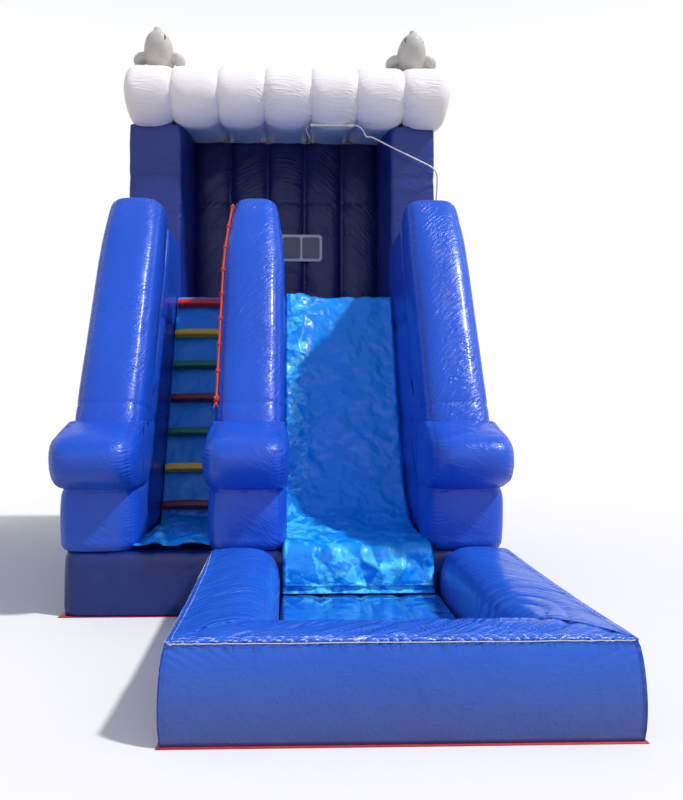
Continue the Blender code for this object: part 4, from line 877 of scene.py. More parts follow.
def makeBase():
    plan = {
        "corner": 30, "lid": 0.30, "most": 0.006,
        # share of the height, share of the crown that it is drawn in by
        "sides": ((0.0, 0.35), (0.06, 0.12), (0.30, 0.02), (0.50, 0.0), (0.72, 0.06), (0.90, 0.45), (0.97, 0.95),
                  (1.0, 1.6)),
        "topSeams": np.arange(-1.6, 1.7, 0.4), "topDip": (0.012, 0.035),
        "sideSeams": (-2.0, -0.7, 0.7, 2.0), "sideDip": (0.010, 0.03),
    }
    outline, middle = box((-sideX, frontY), (sideX, rearY), plan["corner"])
    rise = deckZ - base["low"]
    levels = [(base["low"] + (rise - 0.002) * up, base["crown"] * draw) for up, draw in plan["sides"]]

    def dips(points, normals, push, crease, u, v):
        x, y, z = points[..., 0], points[..., 1], points[..., 2]
        top = normals[..., 2] > 0.8
        side = (np.abs(normals[..., 0]) > 0.7) & (np.abs(z - 0.3) < 0.31)
        for at in plan["topSeams"]:
            push = push - np.where(top, plan["topDip"][0] * groove(x - at, plan["topDip"][1]), 0)
        for at in plan["sideSeams"]:
            push = push - np.where(side, plan["sideDip"][0] * groove(y - at, plan["sideDip"][1]), 0)
        return np.where(z < 0.02, 0, np.minimum(push, plan["most"])), crease
    lid = plan["lid"]
    seams = [seam("across", lidShare(0.02, lid), 0.002, 0.02, 0.006, 0.10, 0.06),
             seam("across", lidShare(0.98, lid), 0.006, 0.02, 0.007, 0.12, 0.06)]
    chamber("base_skin", (560, 50), stacked(outline, middle, levels, lid), "base", "base_chamber",
            seams, (0.002, 0.5, 3), dips)


def makeSheets():
    # thin red ground sheets under the base and the pool
    plan = {"height": 0.003, "thick": 0.004, "rim": 0.006}
    spread = {
        "base": ((-sideX - plan["rim"], frontY - gap), (sideX + plan["rim"], rearY + plan["rim"])),
        "pool": ((-0.666, frontY - 2.886), (2.036, frontY - 2 * gap)),
    }
    for name, (low, high) in spread.items():
        wide, deep = high[0] - low[0], high[1] - low[1]

        def place(u, v):
            return low[0] + wide * u, low[1] + deep * v, u * 0 + plan["height"]
        mesh = skin(name + "_sheet", 60, 60, place, wave=0.0, waveSize=1.0, closed=False)
        made = piece(name + "_sheet", mesh, "redSheet", [name + "_ground_sheet"])
        thicken(made, plan["thick"])


def slab(outline, xLow, xHigh, crown):
    # an outline of (y, z) points carried across from one side face to the other; the faces swell a little
    walk = evenly(outline)
    centre = np.mean(rounded(outline, 2), axis=0)
    rim, edgeDraw = 0.34, 0.018
    half, mid = (xHigh - xLow) / 2, (xLow + xHigh) / 2

    def place(u, v):
        y, z = walk(u)
        reach, over = nearEnd(v, rim), np.abs(2 * rising(v, rim, 1 - 2 * rim) - 1)
        size = reach * (1 - edgeDraw * over ** 8)
        x = mid + np.where(v < 0.5, -1, 1) * half * np.where(reach < 1, 1, over)
        x = x - np.sign(x - mid) * crown * reach ** 6 * over
        return x, centre[0] + (y - centre[0]) * size, centre[1] + (z - centre[1]) * size
    return place


def railRearY(z):
    # the rear line of the sloping rails
    angle = rail["angle"]
    return frontY + rail["foot"] + (z - rail["start"]) / math.tan(angle) + rail["width"] / 2 / math.sin(angle)


def makeWalls():
    plan = {
        "behindPost": 0.80 - 0.014, "behindRail": 0.016,       # it presses into the post and the rail
        "low": deckZ + 0.002, "railFoot": 1.745, "half": 0.318, "crown": 0.02, "clear": 0.004,
        "seams": (1.17, 1.75, 2.90), "dip": (0.022, 0.035), "pleat": (0.006, 0.05, 0.12),
    }
    railEnd = rail["start"] + rail["length"] * math.sin(rail["angle"]) - rail["width"] / 2 * math.cos(rail["angle"])
    backs = {"left": towerFrontY, "divider": edgeY - gap, "right": towerFrontY}

    def dips(points, normals, push, crease, u, v):
        depth, spacing, reach = plan["pleat"]
        for number, at in enumerate(plan["seams"]):
            near = np.abs(points[..., 2] - at)
            pleat = folds(points[..., 1] + near, spacing, 90 + number) * np.exp(-near / reach)
            push = push - plan["dip"][0] * groove(near, plan["dip"][1]) - depth * pleat
            # painted shade in the pleats, and the dark thread line of the seam
            crease = np.maximum(crease, np.maximum(pleat, bell(near, seamPlan["thread"])))
        return push, crease
    for name, back in backs.items():
        front, back = frontY + plan["behindPost"], back - plan["clear"]
        outline = [(front, plan["low"]), (front, plan["railFoot"])]
        outline += [(railRearY(rail["start"]) - plan["behindRail"], plan["railFoot"])]
        outline += [(railRearY(z) - plan["behindRail"], z) for z in np.linspace(1.9, railEnd, 8)]
        outline += [(back, railEnd), (back, plan["low"])]
        x = stations[name]
        chamber(name + "_wall_skin", (200, 90), slab(outline, x - plan["half"], x + plan["half"], plan["crown"]),
                "blue", name + "_wall", (), (0.003, 0.4, 5), dips)


def tuckedUp(limit):
    # a tower cell whose top follows the roof's underside
    plan = {"depths": (0.45, 0.62, 0.855, 1.28, 1.72, 2.20, 2.77),
            "heights": (6.05, 5.76, 5.64, 5.73, 5.82, 5.885, 5.885), "under": 0.03, "from": 5.0, "span": 1.08}

    def shape(points, normals, push, crease, u, v):
        top = np.interp(points[..., 1], plan["depths"], plan["heights"]) + plan["under"]
        z, start = points[..., 2], plan["from"]
        share = rising(z, start, plan["span"])
        points[..., 2] = np.where(z > start, start + (top - start) * share, z)
        return np.minimum(push, limit), crease
    return shape


def makeTower():
    # each side wall has a thick column at its front
    plan = {
        "outer": {"left": 0.100, "right": 0.018}, "column": {"left": 0.63, "right": 0.61}, "columnDeep": 0.70,
        "cut": 0.06, "thin": laneX + 0.004, "middle": (1.68, 1.7), "top": 6.08, "channel": (1.05, 0.010), "lid": 0.06,
    }
    for name, side in (("left", -1), ("right", 1)):
        outer, column, inner, cut = sideX + plan["outer"][name], sideX - plan["column"][name], plan["thin"], plan["cut"]
        stepY = towerFrontY + plan["columnDeep"]
        outline = [(outer - cut, towerFrontY + 0.003), (outer, towerFrontY + cut), (outer + 0.004, 1.7),
                   (outer, rearY - cut), (outer - cut, rearY), (inner + 0.02, rearY), (inner, rearY - 0.02),
                   (inner, stepY + 0.05), (column, stepY - 0.05), (column, towerFrontY + cut),
                   (column + cut, towerFrontY + 0.003)]
        walk = evenly(rounded([(side * x, y) for x, y in outline], 3))
        levels, at = channels(deckZ, plan["top"], *plan["channel"])
        seams = [seam("across", lidShare(share, plan["lid"]), 0.003, 0.02, 0.006, 0.14, 0.05) for share in at]
        place = stacked(walk, (side * plan["middle"][0], plan["middle"][1]), levels, plan["lid"])
        chamber(name + "_tower_skin", (130, 260), place, "tower", name + "_tower_wall", seams,
                (0.004, 0.3, 11 + side), tuckedUp(0.006))


def makeBackWall():
    plan = {"ribs": 5, "depth": 0.07, "into": 0.024, "top": 6.05, "seams": (4.55, 5.00), "lid": 0.04, "steps": 240}
    width = 2 * (laneX + plan["into"])       # its edges press into the towers
    xs = np.linspace(-width / 2, width / 2, plan["steps"] + 1)
    valley = np.abs(2 * (((xs + width / 2) / (width / plan["ribs"])) % 1) - 1) ** 3
    valley[0] = valley[-1] = 1
    sag = plan["depth"] * valley
    face = [(x, backWallY + 0.006 + s) for x, s in zip(xs, sag)]
    walk = evenly(face + [(x, rearY - s) for x, s in zip(xs[::-1], sag[::-1])])
    low, high, lid = deckZ, plan["top"], plan["lid"]
    levels = [(low + (high - low) * s, 0.0) for s in np.linspace(0, 1, 30)]
    seams = [seam("across", lidShare((z - low) / (high - low), lid), 0.014, 0.05, 0.010, 0.20, 0.07)
             for z in plan["seams"]]
    for rib in range(1, plan["ribs"]):
        at = walk.shareOf(round(rib * plan["steps"] / plan["ribs"]))
        seams.append(seam("along", at, 0.004, 0.02, 0.014, 0.15, 0.075, slant=2.4))
    place = stacked(walk, (0.0, (backWallY + rearY) / 2), levels, lid)
    chamber("back_wall_skin", (320, 180), place, "back", "back_wall", seams, (0.005, 0.22, 17),
            tuckedUp(0.008))


def makePlatform():
    plan = {
        "corner": 24, "lid": 0.42, "seams": np.arange(-1.02, 1.1, 0.34), "dip": (0.018, 0.04), "thread": 0.014,
        "levels": ((deckZ, 0.01), (deckZ + 0.5, 0.0), (platformTop - 0.05, 0.002), (platformTop - 0.012, 0.018),
                   (platformTop - 0.002, 0.05)),
        "tower": (0.78, 0.052),       # behind this depth it is narrower by this, between the columns
    }
    outline, middle = box((-laneX + gap, edgeY + 0.002), (laneX - gap, backWallY - 0.006), plan["corner"])

    def dips(points, normals, push, crease, u, v):
        top = normals[..., 2] > 0.8
        x, y = points[..., 0], points[..., 1]
        for at in plan["seams"]:
            push = push - np.where(top, plan["dip"][0] * groove(x - at, plan["dip"][1]), 0)
            crease = np.where(top, np.maximum(crease, bell(np.abs(x - at), plan["thread"])), crease)
        points[..., 1] = np.where((np.abs(x) > 1.30) & (y > 0.7), np.minimum(y, backWallY), y)
        depth, narrower = plan["tower"]
        inside = np.where(points[..., 1] > depth, laneX - narrower, laneX)
        points[..., 0] = np.clip(x, -inside, inside)
        return np.minimum(push, 0.0), crease
    chamber("platform_skin", (220, 80), stacked(outline, middle, plan["levels"], plan["lid"]), "mat",
            "platform_chamber", (), (0.002, 0.4, 23), dips)


makeBase()
makeSheets()
makeWalls()
makeTower()
makeBackWall()
makePlatform()
print("base, walls and tower made")


def makeRail(name, topWidth, seed):
    plan = {
        "bend": 3.3, "ends": 0.03, "taperPower": 1.6, "endRound": 0.13, "endPower": 3.8, "sunk": (0.026, 0.25),
        # how far along its foot turns from level to square with the rail
        "square": ((0.0, 0.0408, 0.126, 0.211, 0.544, 3.0), (0.0, 0.15, 0.55, 0.85, 1.0, 1.0)),
        "foot": (0.012, 0.126), "last": 2.715,       # its cross seams
        "pleats": (0.013, 0.013, 0.007, 0.007),
    }
    radius, ends = rail["width"] / 2, plan["ends"]
    across, corners = roundSquare(plan["bend"])
    cosA, sinA = math.cos(rail["angle"]), math.sin(rail["angle"])

    def place(u, v):
        way = rising(v, ends, 1 - ends) * rail["length"]
        past = rising(way, rail["length"] - rail["taper"], rail["taper"])
        width = rail["width"] + (topWidth - rail["width"]) * past ** plan["taperPower"]
        fall = rail["fall"] * past ** 2
        end = rising(way, rail["length"] - plan["endRound"], plan["endRound"])
        size = (1 - end ** plan["endPower"]) ** (1 / plan["endPower"]) * within(v / ends) ** 0.6
        tilt = (math.pi / 2 - rail["angle"]) * within(eased(way, *plan["square"]))
        c, s = across(u)
        rise = s * (radius - fall / 2) * size - fall / 2
        shift = -rise * (-sinA * np.sin(tilt) + cosA * np.cos(tilt)) / (cosA * np.sin(tilt) + sinA * np.cos(tilt))
        sunk = plan["sunk"][0] * within(1 - way / plan["sunk"][1])          # pressed into the post below
        y = frontY + rail["foot"] + cosA * (way + shift) - sinA * rise
        z = rail["start"] + gap - sunk + sinA * (way + shift) + cosA * rise
        return stations[name] + c * width / 2 * size, y, z
    atWay = lambda way: ends + (1 - ends) * way / rail["length"]
    seams = [seam("across", atWay(plan["foot"][1]), 0.009, 0.018, 0.005, 0.08, 0.045),
             seam("across", atWay(plan["foot"][0]), 0.006, 0.015, 0.006, 0.06, 0.05),
             seam("across", atWay(plan["last"]), 0.004, 0.02, 0.008, 0.10, 0.05)]
    for corner, pleat in zip(corners, plan["pleats"]):
        seams.append(seam("along", corner, 0.008, 0.016, pleat, 0.080, 0.040, slant=1.6))
    chamber(name + "_rail_skin", (96, 290), place, "rail", name + "_rail", seams, (0.004, 0.3, seed),
            atMost(0.006))


def makePost(name, seed):
    # a foot and over it a round cushion that swells forward
    plan = {
        "back": 0.80, "front": 0.006, "seam": 1.13, "bend": 4.4, "lid": 0.11,
        # height, half width, forward swell
        "rows": ((deckZ, 0.330, -0.024), (0.62, 0.348, -0.004), (0.72, 0.358, 0.002), (0.88, 0.362, 0.006),
                 (1.02, 0.358, 0.002), (1.09, 0.351, -0.002), (1.13, 0.341, -0.003), (1.155, 0.354, 0.075),
                 (1.19, 0.368, 0.180), (1.24, 0.379, 0.262), (1.31, 0.386, 0.316), (1.39, 0.389, 0.338),
                 (1.46, 0.389, 0.336), (1.52, 0.386, 0.315), (1.57, 0.381, 0.275), (1.61, 0.375, 0.215),
                 (1.65, 0.367, 0.120), (1.69, 0.357, -0.020), (1.72, 0.349, -0.150), (1.742, 0.341, -0.285),
                 (1.748, 0.328, -0.345)),
        "sideSink": 0.05, "sinkFrom": (1.50, 0.20), "sinkDeep": 0.40,
    }
    heights, halves, swells = (np.array([row[k] for row in plan["rows"]]) for k in range(3))
    ways = summed(np.hypot(np.diff(heights), np.maximum(np.abs(np.diff(swells)), np.abs(np.diff(halves)))))
    ways = ways / ways[-1]
    across, corners = roundSquare(plan["bend"], 0.38, 0.5)
    lid, backY = plan["lid"], frontY + plan["back"]

    def place(u, v):
        share = rising(v, lid, 1 - 2 * lid)
        z, half = eased(share, ways, heights), eased(share, ways, halves)
        front = frontY + plan["front"] - eased(share, ways, swells)
        size = nearEnd(v, lid)
        c, s = across(u)
        y = (backY + front) / 2 + s * ((backY - front) / 2) * size
        # the top sinks a little towards its sides, in front of the rail that stands on it
        deep = plan["sinkDeep"]
        side = np.abs(c * size) ** 3 * rising(z, *plan["sinkFrom"])
        sink = plan["sideSink"] * side * within((frontY + deep - y) / deep)
        return stations[name] + c * half * size, y, z - sink
    atZ = lambda z: lidShare(float(np.interp(z, heights, ways)), lid)
    seams = [seam("across", atZ(plan["seam"]), 0.006, 0.014, 0.008, 0.07, 0.045),
             seam("across", atZ(deckZ + 0.012), 0.003, 0.02, 0.005, 0.05, 0.05)]
    fade = ((0, atZ(1.10), atZ(1.2), 1), (0.25, 0.25, 1, 1))
    for corner in corners:
        seams.append(seam("along", corner, 0.005, 0.013, 0.022, 0.070, 0.036, slant=0.5, fade=fade))
    chamber(name + "_post_skin", (100, 330), place, "blue", name + "_post", seams, (0.005, 0.22, seed),
            atMost(0.006))


for name, topWidth, seed in (("left", 0.61, 31), ("divider", 0.50, 37), ("right", 0.61, 41)):
    makePost(name, seed)
    makeRail(name, topWidth, seed + 2)
print("posts and rails made")


roof = {
    "wide": 4.28, "shift": 0.03, "front": 3.10, "nose": 0.405, "top": 6.45, "rearLow": 5.88, "overhang": 0.12,
    "lobes": 7, "scallop": 0.034, "under": 0.095, "bend": 5.0, "rearRound": 0.17, "endRound": 0.17,
    # share of the way back, share of the underside's rise
    "underside": ((0.11, 0.16), (0.22, 0.36), (0.34, 0.57), (0.45, 0.74), (0.58, 0.90), (0.70, 1.0), (0.80, 1.0),
                  (0.88, 1.02)),
}


def makeRoof():
    nose, top, rearRound = roof["nose"], roof["top"], roof["rearRound"]
    centreY, centreZ = frontY + roof["front"] + nose, top - nose
    rear = rearY + roof["overhang"]
    run, radius = rear - centreY, (top - roof["rearLow"]) / 2
    outline = []
    for angle in np.radians(np.arange(90, 271, 6)):       # the roll, from its top round the front
        outline.append((centreY + nose * math.cos(angle), centreZ + nose * math.sin(angle)))
    for way, rise in roof["underside"]:
        outline.append((centreY + run * way, top - 2 * nose + (2 * nose - (top - roof["rearLow"])) * rise))
    for angle in np.radians(np.arange(-80, 81, 10)):
        outline.append((rear - rearRound + rearRound * math.cos(angle), top - radius + radius * math.sin(angle)))
    outline += [(centreY + run * way, top) for way in (0.88, 0.7, 0.5, 0.3, 0.12)]
    walk = evenly(rounded(outline, 1))
    half, pitch, step = roof["wide"] / 2, roof["wide"] / roof["lobes"], 1e-3

    def place(u, v):
        y, z = walk(u)
        y2, z2 = walk((u + step) % 1)
        y1, z1 = walk((u - step) % 1)
        outY, outZ = (z2 - z1), -(y2 - y1)
        size = np.maximum(np.hypot(outY, outZ), 1e-9)
        outY, outZ = outY / size, outZ / size
        x = (2 * v - 1) * half
        lobe = np.abs(2 * (((x + half) / pitch) % 1) - 1)
        low = within((0.15 - outZ) / 0.75)
        inset = (roof["scallop"] + (roof["under"] - roof["scallop"]) * low) * lobe ** (roof["bend"] - 2.2 * low)
        end = rising(np.abs(x), half - roof["endRound"], roof["endRound"])
        shrink = (1 - end ** 3.0) ** (1 / 3.0)
        y, z = y - outY * inset, z - outZ * inset
        # the end lobes round off towards the roof's own middle line
        lineY = np.clip(y, centreY - 0.22, rear - 0.20)
        lineZ = np.interp(lineY, (centreY, rear - 0.25), (centreZ, top - radius))
        return x + roof["shift"], lineY + (y - lineY) * shrink, lineZ + (z - lineZ) * shrink
    seams = [seam("across", lobe / roof["lobes"], 0.010, 0.012, 0.020, 0.085, 0.042, slant=1.0)
             for lobe in range(1, roof["lobes"])]
    chamber("roof_skin", (230, 360), place, "roof", "roof", seams, (0.003, 0.3, 51), atMost(0.004))


dolphin = {
    "out": 1.70, "girth": 0.195, "high": 0.565, "seat": 0.035, "reach": 0.98, "nose": 0.72, "ends": 0.05, "bend": 2.15,
    # share of the way back, of the height, of the girth across and of the girth up
    "spine": ((0.000, 0.926, 0.19, 0.17), (0.003, 0.888, 0.235, 0.22), (0.008, 0.850, 0.32, 0.31),
              (0.016, 0.800, 0.53, 0.50), (0.034, 0.710, 0.74, 0.70), (0.075, 0.570, 0.92, 0.88),
              (0.150, 0.420, 1.00, 1.00), (0.300, 0.300, 0.96, 0.97), (0.480, 0.215, 0.78, 0.82),
              (0.660, 0.185, 0.53, 0.58), (0.830, 0.180, 0.33, 0.40), (0.970, 0.190, 0.20, 0.26)),
    # flipper and flukes: share of their length, of their chord and of their thickness
    "fin": ((0.0, 1.2, 1.2), (0.3, 1.5, 1.45), (0.6, 1.7, 1.6), (0.8, 1.5, 1.35), (0.94, 0.95, 0.85), (1.0, 0.4, 0.35)),
    "flukes": ((0.0, 0.3, 0.3), (0.1, 0.7, 0.6), (0.3, 0.95, 0.9), (0.5, 1.0, 1.0), (0.7, 0.95, 0.9), (0.9, 0.7, 0.6),
               (1.0, 0.3, 0.3)),
    "finSize": (0.13, 0.10), "flukeSize": (0.136, 0.045), "finReach": 0.225, "flukeHalf": 0.228,
    "eye": {"high": 0.335, "near": (0.109, 0.088), "far": (0.139, 0.020), "thick": 0.0075,
            "line": ((-0.4, -0.030), (0.2, -0.012), (0.3, 0.010), (-0.3, 0.028))},
}


def makeDolphin(name, side):
    plan = dolphin
    girth, ends, middleX = plan["girth"], plan["ends"], plan["out"] * side
    noseY = frontY + roof["front"] + roof["nose"] * plan["nose"]
    ys = [noseY + plan["reach"] * s[0] for s in plan["spine"]]
    zs = [roof["top"] - plan["seat"] + plan["high"] * s[1] for s in plan["spine"]]
    wide, deep = ([girth * s[k] for s in plan["spine"]] for k in (2, 3))
    ways = summed(np.hypot(np.diff(ys), np.diff(zs)))
    across = roundSquare(plan["bend"])[0]

    def place(u, v):
        way = rising(v, ends, 1 - 2 * ends) * ways[-1]
        y, z = eased(way, ways, ys), eased(way, ways, zs)
        ahead, behind = way + 0.01, way - 0.01
        slope = np.arctan2(eased(ahead, ways, zs) - eased(behind, ways, zs),
                           eased(ahead, ways, ys) - eased(behind, ways, ys))
        size = nearEnd(v, ends) ** 0.5
        c, s = across(u)
        rise = s * eased(way, ways, deep) * size
        high = np.maximum(z + np.cos(slope) * rise, roof["top"] - 0.020)
        return middleX + c * eased(way, ways, wide) * size, y - np.sin(slope) * rise, high
    seams = [seam("along", at, 0.003, 0.008, 0.004, 0.030, 0.026) for at in (0.0, 0.5)]
    chamber(name + "_body_skin", (80, 140), place, "dolphin", name + "_body", seams, (0.003, 0.10, 61),
            atMost(0.004))

    def mitt(label, root, tip, size, shares, stands):
        # a sewn flipper or fluke from root to tip; size is its chord and thickness
        root, tip = np.array(root), np.array(tip)
        keys, chords, thicks = ([row[k] for row in shares] for k in range(3))

        def place(u, v):
            at = root + (tip - root) * v[..., None]
            close = nearEnd(v, 0.03) ** 0.5
            c, s = across(u)
            return (at[..., 0], at[..., 1] + c * size[0] / 2 * eased(v, keys, chords) * close,
                    at[..., 2] + s * size[1] / 2 * eased(v, keys, thicks) * close)
        seams = [seam("along", at, 0.004, 0.010, 0.004, 0.02, 0.022) for at in (0.0, 0.5)]
        chamber(label, (56, 48), place, "dolphin", stands, seams, (0.001, 0.1, 71))
    shoulder = (frontY + roof["front"] + roof["nose"] + girth * 0.25, roof["top"] + girth * 0.88)
    for flipper, way in (("outer", side), ("inner", -side)):
        root = (middleX + way * girth * 0.62, *shoulder)
        tip = (root[0] + way * plan["finReach"], shoulder[0] + 0.03, shoulder[1] - girth * 0.28)
        mitt(f"{name}_{flipper}_mitt", root, tip, plan["finSize"], plan["fin"], f"{name}_{flipper}_flipper")
    tail, half = (ys[-1] + 0.0703, zs[-1]), plan["flukeHalf"]
    mitt(f"{name}_flukes", (middleX - half, *tail), (middleX + half, *tail), plan["flukeSize"], plan["flukes"],
         f"{name}_tail_flukes")
    eye, eyes = plan["eye"], []
    for eyeSide in (-1, 1):
        # a dark slit on each side of the head, pressed into the cheek
        out, forward = eye["near"] if eyeSide == -side else eye["far"]
        spot = Vector((middleX + eyeSide * out, ys[4] - forward, roof["top"] + eye["high"]))
        line = [spot + Vector((eyeSide * a * 0.010, -0.004 * (1 - a * a), b)) for a, b in eye["line"]]
        eyes.append(tubeMesh("eye", smoothLine(line, 5), eye["thick"], 8))
    piece(f"{name}_eyes", eyes, "eye")


makeRoof()
makeDolphin("left_dolphin", -1)
makeDolphin("right_dolphin", 1)
print("roof and dolphins made")


pool = {
    "left": -0.66, "right": 2.03, "front": frontY - 2.88, "back": frontY - 2 * gap, "tube": 0.64, "edge": 0.555,
    "top": 0.60, "rearTop": 0.65, "centre": (0.33, 0.30), "ends": 0.02, "press": 0.008, "most": 0.010,
    # the tube's section: shares of its outer slope, of its width and of its height
    "outer": ((0.40, 0.0), (0.38, 0.004), (0.36, 0.012), (0.10, 0.14), (0.0, 0.40), (0.22, 0.70), (0.55, 0.90),
              (0.85, 0.985), (0.95, 1.0)),
    "overEdge": ((0.05, 0.30), (0.20, 0.70), (0.46, 1.0)),
    "inner": ((0.74, 0.975), (0.93, 0.84), (1.0, 0.55), (0.98, 0.22), (0.90, 0.0)),
    "gathers": {"out": 0.036, "width": 0.07, "rows": (0.35, 1.6)},
    "arcs": {"spacing": 0.17, "depth": 0.026, "from": 0.25, "reach": 0.60, "bend": (0.24, 0.5)},
    "strip": (0.062, 0.030, 0.006), "rearRound": 0.16,
    "swell": ((0.0, 0.3, 0.65, 0.93, 1.0), (0.0, 0.0, 0.35, 1.0, 0.6)),
}


def poolSection():
    # a tube's section from its outer foot, over the gathered edge, to its inner foot
    lift, edge, top, wide = base["low"], pool["edge"] - base["low"], pool["top"], pool["tube"]
    points = [(0.040 * way, lift + edge * up) for way, up in pool["outer"]]
    points += [(wide * way, lift + edge + (top - lift - edge) * up) for way, up in pool["overEdge"]]
    points += [(wide * way, lift + (top - lift) * up) for way, up in pool["inner"]]
    fine = rounded(points, 2)
    start = int(np.argmin(np.hypot(fine[:, 0] - 0.016, fine[:, 1] - lift)))
    # more of the skin's rows near the gathered edge
    walk = evenly(np.roll(fine, -start, axis=0))
    ways = np.linspace(0, 1, 2001)
    y, z = walk(ways)
    gathers = pool["gathers"]
    off = np.hypot(y - gathers["out"], z - pool["edge"])
    near = bell(off, gathers["width"])
    dense = summed(gathers["rows"][0] + gathers["rows"][1] * (near[1:] + near[:-1]) / 2)
    dense = dense / dense[-1]
    return (lambda u: walk(np.interp(u, dense, ways))), np.interp(ways[int(np.argmin(off))], ways, dense)


def makePool():
    section, edgeAt = poolSection()
    lift, ends, centre, arcs = base["low"], pool["ends"], pool["centre"], pool["arcs"]
    corners = [(x, pool["front"] + pool["tube"]) for x in (pool["left"] + pool["tube"], pool["right"] - pool["tube"])]

    def closing(v):
        return nearEnd(v, ends) ** 0.7

    def capped(way, z, size):
        return centre[0] + (way - centre[0]) * size, centre[1] + (z - centre[1]) * size

    def gathered(outside):
        # outside(points) is how far a point is from the tube's outer side
        def shape(points, normals, push, crease, u, v):
            x, y, z, outer = points[..., 0], points[..., 1], points[..., 2], outside(points)
            # long folds curve round the pool's inner front corners
            for number, (cornerX, cornerY) in enumerate(corners):
                far = np.hypot(x - cornerX, y - cornerY) + arcs["bend"][0] * ripple(x, y, arcs["bend"][1], 91 + number)
                arc = folds(far, arcs["spacing"], 191 + number)
                arc = arc * bell(np.maximum(far - arcs["from"], 0), arcs["reach"]) * rising(z, 0.25, 0.2)
                push = push - arcs["depth"] * arc * within(far / arcs["from"]) * rising(outer, 0.05, 0.15)
                # painted shade along the arc folds
                crease = np.maximum(crease, arc * 0.5)
            # a gathered strip along the edge, above the seam
            at, width, height = pool["strip"]
            push = push + height * (np.exp(-((outer - at) / width) ** 4) * (z > pool["edge"] - 0.02))
            return np.minimum(np.where(z < 0.03, 0, push), pool["most"]), crease
        return shape
    length = pool["back"] - pool["front"]
    for name, x, way in (("left", pool["left"], 1), ("right", pool["right"], -1)):
        def place(u, v):
            inward, z = section(u)
            start = pool["front"] + centre[0] + (inward - centre[0]) * within(v / ends) ** 0.7 - pool["press"]
            y = start + (pool["back"] - start) * rising(v, ends, 1 - 2 * ends)
            rearEnd = rising(y, pool["back"] - pool["rearRound"], pool["rearRound"])
            size = closing(v) * (1 - 0.5 * rearEnd ** 3.5) ** 0.5
            swell = np.interp((y - pool["front"]) / length, *pool["swell"])
            top = pool["top"] + (pool["rearTop"] - pool["top"]) * swell
            inward, z = capped(inward, lift + (z - lift) * (top - lift) / (pool["top"] - lift), size)
            return x + way * inward, y, np.maximum(z, lift)
        fade = ((0, 0.02, 0.09, 1), (0, 0, 1, 1))
        seams = [seam("along", edgeAt, 0.008, 0.014, 0.016, 0.30, 0.062, slant=0.7, below=0.25, fade=fade),
                 seam("across", 0.03, 0.004, 0.03, 0.006, 0.20, 0.06),
                 seam("across", 0.965, 0.006, 0.03, 0.010, 0.10, 0.06)]
        chamber(f"pool_{name}_skin", (130, 290), place, "pool", f"pool_{name}_tube", seams,
                (0.003, 0.3, 83 + way), gathered(lambda points: np.abs(points[..., 0] - x)))

    def place(u, v):
        inward, z = section(u)
        inward, z = capped(inward, z, closing(v))
        start, end = pool["left"] + inward - pool["press"], pool["right"] - inward + pool["press"]
        x = start + (end - start) * rising(v, ends, 1 - 2 * ends)
        return x, pool["front"] + inward, np.maximum(z, lift)
    fade = ((0, 0.02, 0.09, 0.91, 0.98, 1), (0, 0, 1, 1, 0, 0))
    seams = [seam("along", edgeAt, 0.008, 0.014, 0.056, 0.34, 0.080, slant=0.9, below=0.12, fade=fade)]
    seams += [seam("across", at, 0.004, 0.03, 0.006, 0.18, 0.05) for at in (0.03, 0.97)]
    chamber("pool_front_skin", (130, 420), place, "pool", "pool_front_tube", seams, (0.003, 0.3, 89),
            gathered(lambda points: np.abs(points[..., 1] - pool["front"])))


def makePoolFloor():
    plan = {"corner": 24, "lid": 0.40, "levels": ((base["low"], 0.012), (0.10, 0.0), (0.18, 0.004), (0.208, 0.03)),
            "dip": (0.024, 0.05), "ripple": (0.010, 0.22), "lit": (1.1, 1.0)}
    x0, x1 = pool["left"] + pool["tube"] + gap, pool["right"] - pool["tube"] - gap
    y0, y1 = pool["front"] + pool["tube"] + gap, pool["back"]
    outline, middle = box((x0, y0), (x1, y1), plan["corner"])

    def dips(points, normals, push, crease, u, v):
        top = normals[..., 2] > 0.8
        x, y = points[..., 0], points[..., 1]
        for at in np.linspace(x0, x1, 5)[1:-1]:
            push = push - np.where(top, plan["dip"][0] * groove(x - at, plan["dip"][1]), 0)
        push = push + np.where(top, plan["ripple"][0] * np.abs(ripple(x, y, plan["ripple"][1], 5)) * 2, 0)
        # painted light: pale lit facets towards the rear of the pool floor
        litRearShare = within((y - pool["back"] + plan["lit"][0]) / plan["lit"][1])
        return push, np.where(top, within((crumple(x, y, 77)[1] - 0.45) * 3.5) * litRearShare, 0)
    chamber("pool_floor_skin", (280, 130), stacked(outline, middle, plan["levels"], plan["lid"]), "poolFloor",
            "pool_floor", (), (0.002, 0.4, 97), dips)


def makePiping():
    # cream piping round the pool's outer edge
    plan = {"in": 0.032, "corner": 0.03, "radius": 0.0036, "wave": 0.002}
    high, corner = pool["edge"] + 0.001, plan["corner"]
    left, right, front = pool["left"] + plan["in"], pool["right"] - plan["in"], pool["front"] + plan["in"]
    back = pool["back"] - 0.02
    half = [(left, back, high + 0.035), (left, back - 0.3, high + 0.045), (left, back - 1.2, high + 0.018),
            (left, front + 1.0, high)]
    half += [(left, front + corner * k, high) for k in (8, 4, 2, 1)]
    half += [(left + corner * k, front, high) for k in (1, 2, 4, 8, 20)]
    line = smoothLine(half + [(left + right - x, y, z) for x, y, z in reversed(half)], 12)
    waves = [plan["wave"] * math.sin(i * 0.9) * math.sin(i * 0.31) for i in range(len(line))]
    line = [p + Vector((0, 0, wave)) for p, wave in zip(line, waves)]
    piece("pool_piping", tubeMesh("pool_piping", line, plan["radius"], 8), "cream")


makePool()
makePoolFloor()
makePiping()
print("pool made")


